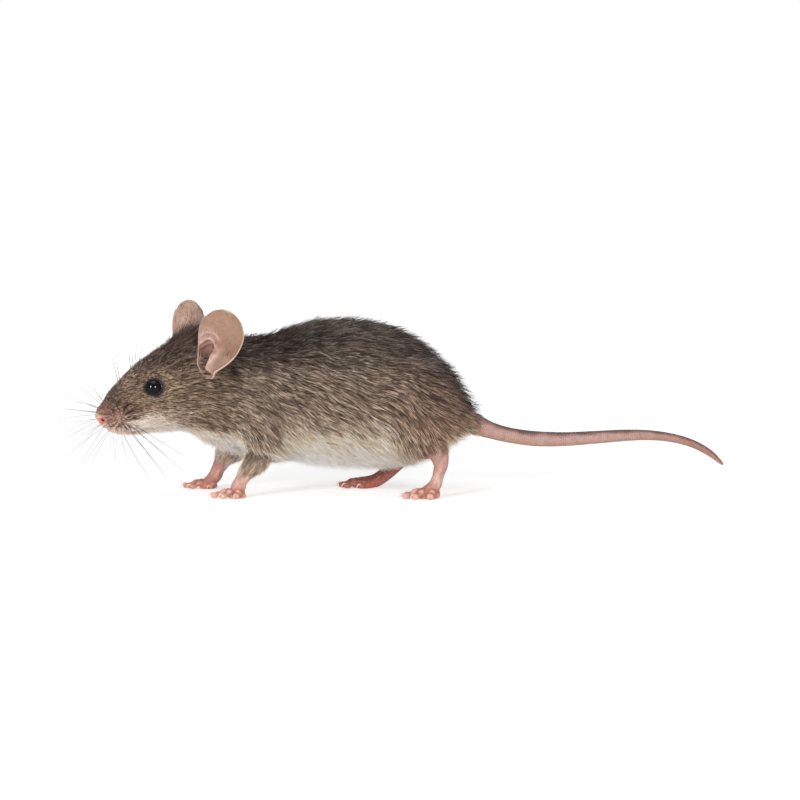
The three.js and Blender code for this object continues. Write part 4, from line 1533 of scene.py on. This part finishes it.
@dataclass
class Strands:
    """A node tree that sweeps a round section of changing size along lines of points."""

    name: str
    sides: int
    thickness: float

    def tree(self, material: bpy.types.Material) -> bpy.types.NodeTree:
        """Returns the tree, with its sizes as named inputs."""
        tree = bpy.data.node_groups.new(self.name, "GeometryNodeTree")
        for name, way, kind in (("Lines", "INPUT", "Geometry"), ("Sides", "INPUT", "Int"),
                                ("Thickness", "INPUT", "Float"), ("Mesh", "OUTPUT", "Geometry")):
            tree.interface.new_socket(name, in_out=way, socket_type="NodeSocket" + kind)
        entry, leave = tree.nodes.new("NodeGroupInput"), tree.nodes.new("NodeGroupOutput")
        curve, size, radius, circle, sweep, smooth, real, finish = (
            tree.nodes.new("GeometryNode" + kind)
            for kind in ("MeshToCurve", "InputNamedAttribute", "SetCurveRadius", "CurvePrimitiveCircle",
                         "CurveToMesh", "SetShadeSmooth", "RealizeInstances", "SetMaterial"))
        size.data_type = "FLOAT"
        size.inputs["Name"].default_value = "girth"
        sweep.inputs["Fill Caps"].default_value = True
        finish.inputs["Material"].default_value = material
        joins = [(entry, "Lines", curve, "Mesh"), (curve, "Curve", radius, "Curve"),
                 (size, "Attribute", radius, "Radius"), (entry, "Sides", circle, "Resolution"),
                 (entry, "Thickness", circle, "Radius"), (radius, "Curve", sweep, "Curve"),
                 (circle, "Curve", sweep, "Profile Curve"), (sweep, "Mesh", smooth, "Geometry"),
                 (smooth, "Geometry", real, "Geometry"), (real, "Geometry", finish, "Geometry"),
                 (finish, "Geometry", leave, "Mesh"), (size, "Attribute", sweep, "Scale")]
        for start, outlet, end, inlet in joins:
            if inlet in end.inputs:
                tree.links.new(start.outputs[outlet], end.inputs[inlet])
        return tree

    def sweep(self, lines: list, girths: list, placing: Placing,
              material: bpy.types.Material) -> Thing:
        """Returns one plain mesh of all the strands.

        Args:
            lines: The points of each strand in millimetres.
            girths: The share of the thickness at each of those points.
            placing: What brings them into the frame.
            material: Their finish.
        """
        points = np.concatenate(lines)
        starts = np.cumsum([0] + [len(line) for line in lines])
        edges = [(k, k + 1) for i in range(len(lines)) for k in range(starts[i], starts[i + 1] - 1)]
        mesh = bpy.data.meshes.new(self.name)
        mesh.from_pydata(placing.metres(points).tolist(), edges, [])
        keep(mesh, "girth", np.concatenate(girths))
        keep(mesh, "reach", np.concatenate([np.linspace(0, 1, len(line)) for line in lines]))
        made = placed(self.name, mesh)
        nodes = made.modifiers.new("strands", "NODES")
        nodes.node_group = self.tree(material)
        sizes = {"Sides": self.sides, "Thickness": self.thickness * MM}
        for item in nodes.node_group.interface.items_tree:
            if item.name in sizes:
                nodes[item.identifier] = sizes[item.name]
        made.data = made_real(made)
        made.data.name = self.name
        log.info("%s: %d strands, %d faces", self.name, len(lines), len(made.data.polygons))
        return made


@dataclass
class Whiskers:
    """The whiskers that radiate from each pad of the muzzle, and the few long hairs over each eye."""

    torso: Torso
    seed: int = 17
    thickness: float = 0.075
    pad: tuple = (5.9, 17.7)  # place along and height of the middle of a pad
    ring: tuple = (0.6, 2.1)  # how near it and how far from it whiskers grow
    # Number of hairs, the first and last of their angles up from straight ahead, length and girth.
    fans: tuple = ((12, 60, -52, 12.4, 0.6), (3, -76, -104, 8.0, 0.5), (3, -120, -142, 13.0, 0.95))
    # Place along, height, length and slope backwards of the hairs over the eye.
    brows: tuple = ((6.4, 24.6, 11.0, -0.25), (9.0, 27.2, 9.5, -0.12), (9.9, 27.6, 9.5, 0.08))

    def lines(self) -> tuple[list, list]:
        """Returns the points of each whisker and its girth there."""
        rng = np.random.default_rng(self.seed)
        lines, girths = [], []
        for side in Side:
            roots = [(*brow, 1.0, 0.1, 1.0) for brow in self.brows]
            for count, first, last, length, girth in self.fans:
                for angle in np.radians(np.linspace(first, last, count)) + rng.normal(0, 0.07, count):
                    back, rise = -math.cos(angle), math.sin(angle)
                    far = rng.uniform(*self.ring)
                    along, height = self.pad[0] + far * back, self.pad[1] + far * rise
                    reach = length * rng.uniform(0.75, 1.15)
                    roots.append((along, height, reach, back, rise, 0.09 + 0.12 * back, girth))
            for along, height, length, back, rise, out, girth in roots:
                lines.append(self.line(side, (along, height), length, (back, rise, out), rng))
                girths.append(girth * np.linspace(1, 0.35, len(lines[-1])))
        return lines, girths

    def line(self, side: Side, root: tuple, length: float, way: tuple, rng: np.random.Generator) -> Array:
        """Returns one whisker, which leaves the skin outwards and bends back and down.

        Args:
            side: Side of the head.
            root: Distance along the head, and height.
            length: Length in millimetres.
            way: How far it heads backwards, upwards and outwards.
            rng: Chance for its bend.
        """
        spine, (along, height) = self.torso.spine, root
        middle, up, down, half, egg = self.torso.section(np.array(along))
        share = np.clip((height - middle) / (up if height > middle else down), -0.98, 0.98)
        out = half * math.sqrt(1 - share**2) * (1 - egg * share) - 0.25
        start = spine.point(along, side.value * out, height)
        ahead, right = spine.axes(np.array(along))
        heading = unit(right * side.value * way[2] + ahead * way[0] + np.array([0, 0, way[1]]))
        bend = ahead * 0.3 + np.array([0, 0, -0.22]) + rng.normal(0, 0.1, 3)
        t = np.linspace(0, 1, 14)[:, None]
        return start + length * (t * heading + 0.32 * t**2 * bend)


@dataclass
class Claws:
    """A short curved claw at the end of each toe."""

    legs: list
    length: float = 1.15
    thickness: float = 0.25

    def lines(self) -> tuple[list, list]:
        """Returns the points of each claw and its girth there."""
        lines, girths = [], []
        for leg in self.legs:
            for toe in leg.plan.toes:
                start, ahead = leg.toe_line(toe)
                t = np.linspace(0, 1, 9)
                reach = toe.length * 0.93 + self.length * t
                height = toe.radius + 0.42 + 0.22 * np.sin(math.pi * t * 0.9) - (toe.radius + 0.3) * t**2.4
                flat = start + ahead * reach[:, None]
                lines.append(np.column_stack([flat, np.maximum(height, 0.06)]))
                girths.append(0.12 + 0.88 * (1 - t**1.6))
        return lines, girths


# ---- finishes


class Nodes:
    """Makes the nodes of one material, or of the world."""

    def __init__(self, name: str, world: bool = False) -> None:
        """Starts a material with a Principled surface, or a world."""
        self.owner = (bpy.data.worlds if world else bpy.data.materials).new(name)
        self.owner.use_nodes = True
        self.nodes, self.links = self.owner.node_tree.nodes, self.owner.node_tree.links

    def add(self, kind: str, settings: dict | None = None, **inputs: object) -> bpy.types.Node:
        """Returns a new node.

        Args:
            kind: The node's type, without its ShaderNode prefix.
            settings: Properties set on the node itself.
            inputs: Values or sockets for its inputs, by name with _ for a space.
        """
        node = self.nodes.new("ShaderNode" + kind)
        for key, value in (settings or {}).items():
            setattr(node, key, value)
        for key, value in inputs.items():
            self.join(value, node.inputs[key.replace("_", " ")])
        return node

    def join(self, value: object, socket: Socket) -> None:
        """Links a socket to an input, or sets the input's value."""
        if isinstance(value, Socket):
            self.links.new(value, socket)
        else:
            socket.default_value = value

    def attribute(self, name: str, output: str = "Fac") -> Socket:
        """Returns a value stored at the mesh's points."""
        return self.add("Attribute", {"attribute_name": name}).outputs[output]

    def maths(self, operation: str, a: object, b: object = 0.0) -> Socket:
        """Returns a sum of two values."""
        node = self.add("Math", {"operation": operation})
        self.join(a, node.inputs[0])
        self.join(b, node.inputs[1])
        return node.outputs[0]

    def ramp(self, value: object, *stops: tuple) -> Socket:
        """Returns a grey or a colour read off a ladder of (place, value) stops."""
        node = self.add("ValToRGB", Fac=value)
        ramp = node.color_ramp
        while len(ramp.elements) < len(stops):
            ramp.elements.new(0.5)
        for element, (place, grey) in zip(ramp.elements, stops):
            element.position = place
            element.color = (*grey, 1) if isinstance(grey, tuple) else (grey, grey, grey, 1)
        return node.outputs["Color"]

    def mix(self, a: object, b: object, share: object = 1.0, blend: str = "MIX") -> Socket:
        """Returns two colours mixed."""
        node = self.add("Mix", {"data_type": "RGBA", "blend_type": blend})
        self.join(share, node.inputs["Factor"])
        self.join(a, node.inputs[6])
        self.join(b, node.inputs[7])
        return node.outputs[2]

    def times(self, a: object, b: object, share: object = 1.0) -> Socket:
        """Returns a colour multiplied by another, by a share of it."""
        return self.mix(a, b, share, "MULTIPLY")

    def noise(self, scale: float, detail: float = 3.0) -> Socket:
        """Returns noise on Object coordinates, with the scale in waves for each metre."""
        place = self.add("TexCoord").outputs["Object"]
        return self.add("TexNoise", Vector=place, Scale=scale, Detail=detail).outputs["Fac"]

    def finish(self, **inputs: object) -> bpy.types.Material:
        """Returns the material with its surface's inputs set or linked."""
        for key, value in inputs.items():
            self.join(value, self.nodes["Principled BSDF"].inputs[key.replace("_", " ")])
        return self.owner


@dataclass(frozen=True)
class CoatFinish:
    """Hair: dark guard hairs and pale tips scattered through it, and each hair darker at its root."""

    roughness: float = 0.6
    specular: float = 0.22

    def material(self) -> bpy.types.Material:
        """Returns the coat's material."""
        n = Nodes("mouse coat")
        tone = n.add("Attribute", {"attribute_name": "tone"})
        strand, reach = n.attribute("strand"), n.attribute("reach")
        scatter = n.ramp(strand, (0.15, (0.2, 0.18, 0.18)), (0.38, (0.5, 0.47, 0.45)),
                         (0.55, (0.98, 0.95, 0.92)), (0.72, (1.55, 1.54, 1.52)), (0.88, (2.25, 2.25, 2.24)))
        colour = n.times(tone.outputs["Color"], scatter, tone.outputs["Alpha"])
        length = n.ramp(reach, (0.0, 0.3), (0.4, 0.75), (0.75, 1.25), (1.0, 1.4))
        colour = n.times(colour, length, tone.outputs["Alpha"])
        drift = n.ramp(n.noise(420.0), (0.3, 0.94), (0.7, 1.06))
        colour = n.times(colour, drift)
        colour = n.mix(colour, (0.92, 0.9, 0.88, 1), 1.0, "DARKEN")
        return n.finish(Base_Color=colour, Roughness=self.roughness, Specular_IOR_Level=self.specular)


@dataclass(frozen=True)
class SkinFinish:
    """Skin: mottled and finely creased where bare, ringed with scales on the tail."""

    roughness: float = 0.52
    specular: float = 0.4
    ring: float = 0.42  # millimetres between the tail's rings
    fade: float = 0.62  # how much darker the grooves between them are: painted shade
    relief: float = 0.00012  # depth of the creases in metres

    def material(self) -> bpy.types.Material:
        """Returns the skin's material."""
        n = Nodes("mouse skin")
        tone = n.add("Attribute", {"attribute_name": "tone"})
        bare, run = n.attribute("bare"), n.attribute("rings")
        mottle = n.ramp(n.noise(900.0, 5.0), (0.25, 0.86), (0.75, 1.12))
        colour = n.times(tone.outputs["Color"], mottle)
        flush = n.ramp(n.noise(260.0), (0.35, (1.0, 1.0, 1.0)), (0.75, (1.04, 0.9, 0.88)))
        colour = n.times(colour, flush, bare)
        wave = n.maths("SINE", n.maths("MULTIPLY", run, 2 * math.pi / self.ring))
        on_tail = n.maths("GREATER_THAN", run, 0.005)
        groove = n.maths("MULTIPLY", n.maths("MULTIPLY", n.maths("ADD", wave, 1.0), 0.5), on_tail)
        # painted shade in the grooves between the tail's rings
        colour = n.times(colour, (0.72, 0.68, 0.67, 1), n.maths("MULTIPLY", groove, self.fade))
        place = n.add("TexCoord").outputs["Object"]
        cells = n.add("TexVoronoi", {"feature": "DISTANCE_TO_EDGE"}, Vector=place, Scale=2600.0)
        crease = n.maths("MULTIPLY", n.maths("MINIMUM", cells.outputs["Distance"], 0.25), bare)
        height = n.maths("ADD", crease, n.maths("MULTIPLY", groove, -0.5))
        fine = n.maths("MULTIPLY", n.noise(5000.0), 0.3)
        bump = n.add("Bump", Strength=0.55, Distance=self.relief, Height=n.maths("ADD", height, fine))
        return n.finish(
            Base_Color=colour, Roughness=self.roughness, Specular_IOR_Level=self.specular,
            Subsurface_Weight=0.06, Subsurface_Radius=(0.0011, 0.0005, 0.0003), Subsurface_Scale=1.0,
            Normal=bump.outputs["Normal"])


@dataclass(frozen=True)
class EyeFinish:
    """The black eye, with a brown iris just to be made out round its pupil, under a wet surface."""

    roughness: float = 0.03

    def material(self) -> bpy.types.Material:
        """Returns the eye's material."""
        n = Nodes("mouse eye")
        depth = n.attribute("iris")
        streak = n.ramp(n.noise(2400.0, 2.0), (0.3, 0.7), (0.7, 1.3))
        iris = n.ramp(depth, (0.0, (0.0012, 0.001, 0.001)), (0.5, (0.002, 0.0016, 0.0015)),
                      (0.75, (0.006, 0.0045, 0.004)), (1.0, (0.003, 0.0025, 0.0022)))
        colour = n.times(iris, streak, 0.7)
        return n.finish(Base_Color=colour, Roughness=self.roughness, IOR=1.37)


@dataclass(frozen=True)
class HornFinish:
    """Claws or whiskers: a colour at the root and another at the tip, with a soft gloss."""

    name: str
    root: tuple
    tip: tuple
    roughness: float = 0.35

    def material(self) -> bpy.types.Material:
        """Returns the material."""
        n = Nodes(self.name)
        root, tip = tuple(linear(*self.root)), tuple(linear(*self.tip))
        colour = n.ramp(n.attribute("reach"), (0.0, root), (1.0, tip))
        grain = n.ramp(n.noise(1800.0), (0.3, 0.85), (0.7, 1.12))
        return n.finish(Base_Color=n.times(colour, grain), Roughness=self.roughness)


# ---- eyes


@dataclass
class Eyeball:
    """One eyeball, a little flatter in front."""

    eye: Eye
    side: Side
    around: int = 48
    down: int = 28
    bulge: float = -0.16

    def build(self, placing: Placing, material: bpy.types.Material) -> Thing:
        """Returns the eyeball with its material."""
        centre, gaze = self.eye.centre(self.side), self.eye.gaze(self.side)
        beside = unit(np.cross(gaze, [0, 0, 1.0]))
        up = np.cross(beside, gaze)
        dip = np.linspace(0.02, math.pi - 0.02, self.down)[:, None]
        turn = turns(self.around)[None]
        size = self.eye.radius + self.bulge * bell(dip, 0.75) + 0.03
        points = (centre + gaze * (size * np.cos(dip) + 0 * turn)[..., None]
                  + beside * (size * np.sin(dip) * np.cos(turn))[..., None]
                  + up * (size * np.sin(dip) * np.sin(turn))[..., None])
        iris = np.clip(dip / 1.1, 0, 1) + 0 * turn
        made = Shape.lofted(points, {"iris": iris}).object("eyeball_" + self.side.name.lower())
        placing.settle(made.data)
        made.data.shade_smooth()
        made.data.materials.append(material)
        return made


# ---- the studio


@dataclass
class Studio:
    """A plain pale floor, soft lamps and the camera."""

    lens: float = 100.0
    elevation: float = 4.5
    distance: float = 0.478
    target: tuple = (-3.14, 0.08, 20.2)
    glow: float = 0.58  # light that the floor itself gives, as a lit table does
    half_floor: float = 6.0

    def floor(self) -> Thing:
        """Returns the floor, which keeps the animal's shadow."""
        mesh, r = bpy.data.meshes.new("floor"), self.half_floor
        mesh.from_pydata([(-r, -r, 0), (r, -r, 0), (r, r, 0), (-r, r, 0)], [], [(0, 1, 2, 3)])
        floor = placed("floor", mesh)
        n = Nodes("pale floor")
        path = n.add("LightPath").outputs
        place = n.add("VectorMath", {"operation": "LENGTH"}, Vector=n.add("TexCoord").outputs["Object"])
        far = n.add("MapRange", {"interpolation_type": "SMOOTHSTEP"}, Value=place.outputs["Value"],
                    From_Min=0.15, From_Max=0.6, To_Min=0.5, To_Max=1.0)
        seen = n.maths("MULTIPLY", path["Is Camera Ray"], far.outputs["Result"])
        lift = n.maths("ADD", seen, n.maths("MULTIPLY", path["Is Diffuse Ray"], self.glow))
        mesh.materials.append(n.finish(
            Base_Color=(0.85, 0.85, 0.85, 1), Roughness=0.9, Specular_IOR_Level=0.0,
            Emission_Color=(1, 1, 1, 1), Emission_Strength=lift))
        return floor

    def world(self, strength: float) -> None:
        """Makes the world: a soft light of this strength on the object, and white where it is seen."""
        n = Nodes("studio", world=True)
        bpy.context.scene.world = n.owner
        n.nodes.clear()
        path = n.add("LightPath").outputs
        seen = n.maths("MAXIMUM", path["Is Camera Ray"], path["Is Transmission Ray"])
        mix = n.add("MixShader", Fac=seen)
        for place, power in enumerate((strength, 1.0), 1):
            light = n.add("Background", Color=(1, 1, 1, 1), Strength=power)
            n.join(light.outputs["Background"], mix.inputs[place])
        n.add("OutputWorld", Surface=mix.outputs["Shader"])

    def lamp(self, name: str, azimuth: float, height: float, distance: float, size: float,
             power: float) -> None:
        """Adds a round lamp that faces the animal.

        Args:
            name: The lamp's name.
            azimuth: Degrees round from the camera's side, towards the tail where more than 0.
            height: Degrees above the floor.
            distance: Metres from the animal.
            size: Its diameter in metres.
            power: Its power in watts.
        """
        light = bpy.data.lights.new(name, "AREA")
        light.shape, light.size, light.energy = "DISK", size, power
        lamp = placed(name, light)
        a, h = math.radians(azimuth), math.radians(height)
        way = Vector((math.sin(a) * math.cos(h), -math.cos(a) * math.cos(h), math.sin(h)))
        lamp.location = way * distance + Vector((0, 0, 0.02))
        lamp.rotation_euler = way.to_track_quat("Z", "Y").to_euler()

    def camera(self) -> None:
        """Creates the camera and makes it the scene's."""
        data = bpy.data.cameras.new("camera")
        data.lens, data.sensor_width = self.lens, 36
        data.clip_start, data.clip_end = 0.01, 50
        camera = placed("camera", data)
        h = math.radians(self.elevation)
        way = Vector((0, -math.cos(h), math.sin(h)))
        camera.location = Vector(self.target) * MM + way * self.distance
        camera.rotation_euler = way.to_track_quat("Z", "Y").to_euler()
        bpy.context.scene.camera = camera

    def build(self) -> None:
        """Makes the whole studio."""
        bpy.context.scene.view_settings.view_transform = "Standard"
        self.camera()
        self.floor()
        self.world(0.3)
        self.lamp("left lamp", -30, 17, 1.1, 0.27, 5.6)
        self.lamp("right lamp", 20, 15, 1.1, 0.27, 4.8)
        self.lamp("top lamp", -20, 74, 1.0, 0.9, 2.8)


# ---- the animal


@dataclass
class Mouse:
    """The whole animal."""

    spine: Spine = field(default_factory=Spine)

    def __post_init__(self) -> None:
        """Makes the sub-assemblies from the sizes they share."""
        self.eye = Eye(self.spine)
        self.placing = Placing.on_frame(self.eye)
        self.markings = marks = Markings(self.spine)
        self.legs = [
            Leg("fore_left", Side.LEFT, Muscle((37.2, 7.6, 16.8), (7.4, 4.4, 10.4), -0.16), (
                (36.8, 7.5, 12.4, 2.3, 3.7), (35.7, 8.2, 9.0, 2.2, 3.3), (33.6, 8.7, 6.0, 1.8, 2.0),
                (32.0, 8.7, 3.8, 1.5, 1.4), (31.3, 8.6, 2.3, 1.7, 1.6), (30.6, 8.6, 1.2, 1.7, 1.1)),
                (30.8, 8.6), 0.25, (4.3, 7.4), FORE, marks, slope=-0.15),
            # Its greater flush is painted shade, as the far legs stand in shadow.
            Leg("fore_right", Side.RIGHT, Muscle((34.2, 7.4, 16.2), (7.2, 4.4, 10.2), 0.1), (
                (31.2, 7.4, 12.4, 2.6, 4.8), (29.0, 8.2, 9.4, 2.2, 3.9), (27.2, 8.5, 7.0, 1.9, 2.3),
                (25.7, 8.6, 4.4, 1.6, 1.5), (24.9, 8.6, 2.7, 1.7, 1.5), (23.2, 8.6, 1.3, 1.7, 1.1)),
                (23.3, 8.6), 0.05, (4.8, 8.6), FORE, marks, slope=-0.45, flush=0.45),
            Leg("hind_left", Side.LEFT, Muscle((67.2, 7.8, 18.6), (10.6, 6.6, 12.0), 0.42), (
                (68.5, 7.8, 12.2, 3.2, 4.4), (73.0, 8.9, 10.4, 2.0, 2.7), (74.2, 9.4, 7.7, 1.5, 1.7),
                (73.7, 9.6, 5.0, 1.35, 1.25), (72.9, 9.6, 2.8, 1.6, 1.4), (71.2, 9.6, 1.4, 1.9, 1.3)),
                (71.4, 9.6), 0.28, (9.2, 11.6), HIND, marks, slope=0.25),
            # Its greater flush is painted shade, as the far legs stand in shadow.
            Leg("hind_right", Side.RIGHT, Muscle((65.6, 7.8, 18.4), (10.6, 6.6, 12.0), 0.3), (
                (66.4, 8.2, 11.6, 3.2, 4.4), (66.6, 9.2, 8.3, 2.2, 2.6), (64.8, 9.5, 5.4, 1.6, 1.7),
                (62.2, 9.6, 3.0, 1.6, 1.55), (60.0, 9.6, 1.6, 1.8, 1.5), (57.6, 9.6, 1.3, 1.9, 1.2)),
                (57.6, 9.6), 0.05, (8.5, 12.0), HIND, marks, slope=0.4, flush=0.85),
        ]
        self.torso = Torso(self.spine, tuple((leg.muscle, leg.side) for leg in self.legs), self.eye, marks)
        self.ears = [Ear(Side.LEFT, 0.3, 0.3, 0.45, self.spine, marks),
                     Ear(Side.RIGHT, 0.21, 0.12, 0.5, self.spine, marks, length=15.7, root=(21.2, 7.0, 26.3))]
        self.lids = [Lid(self.eye, side, marks) for side in Side]

    def build(self) -> None:
        """Builds every piece, gives it its finish and ties it to the frame."""
        skin = Skin(self.torso, self.lids, self.ears, Tail(self.markings), self.legs).build()
        coat = Coat(self.torso, self.legs, self.markings).build(skin, self.placing)
        self.placing.settle(skin.data)
        skin.data.shade_smooth()
        skin.data.materials.clear()
        skin.data.materials.append(SkinFinish().material())
        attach(skin, BODY)
        flesh = [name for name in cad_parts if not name.startswith("eye_")]
        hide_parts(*flesh)
        hair = CoatFinish().material()
        for piece in coat:
            piece.data.materials.append(hair)
            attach(piece, BODY)
        self.build_eyes()
        self.build_strands()

    def build_eyes(self) -> None:
        """Builds the eyeballs over the frame's eyes."""
        finish = EyeFinish().material()
        for side in Side:
            ball = Eyeball(self.eye, side).build(self.placing, finish)
            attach(ball, BODY)
            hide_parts(f"eye_{side.name.lower()}")
            log.info("%s: %d faces", ball.name, len(ball.data.polygons))

    def build_strands(self) -> None:
        """Builds the whiskers and the claws."""
        whiskers, claws = Whiskers(self.torso), Claws(self.legs)
        hair = HornFinish("whisker", (40, 34, 32), (150, 144, 140), 0.6).material()
        horn = HornFinish("claw", (206, 160, 138), (226, 206, 184), 0.3).material()
        made = [Strands("whiskers", 5, whiskers.thickness).sweep(*whiskers.lines(), self.placing, hair),
                Strands("claws", 8, claws.thickness).sweep(*claws.lines(), self.placing, horn)]
        for piece, slot in zip(made, ("coat", "bare_skin")):
            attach(piece, BODY)


def main() -> None:
    """Builds the studio and the animal."""
    Studio().build()
    Mouse().build()


if __name__ == "__main__":
    main()
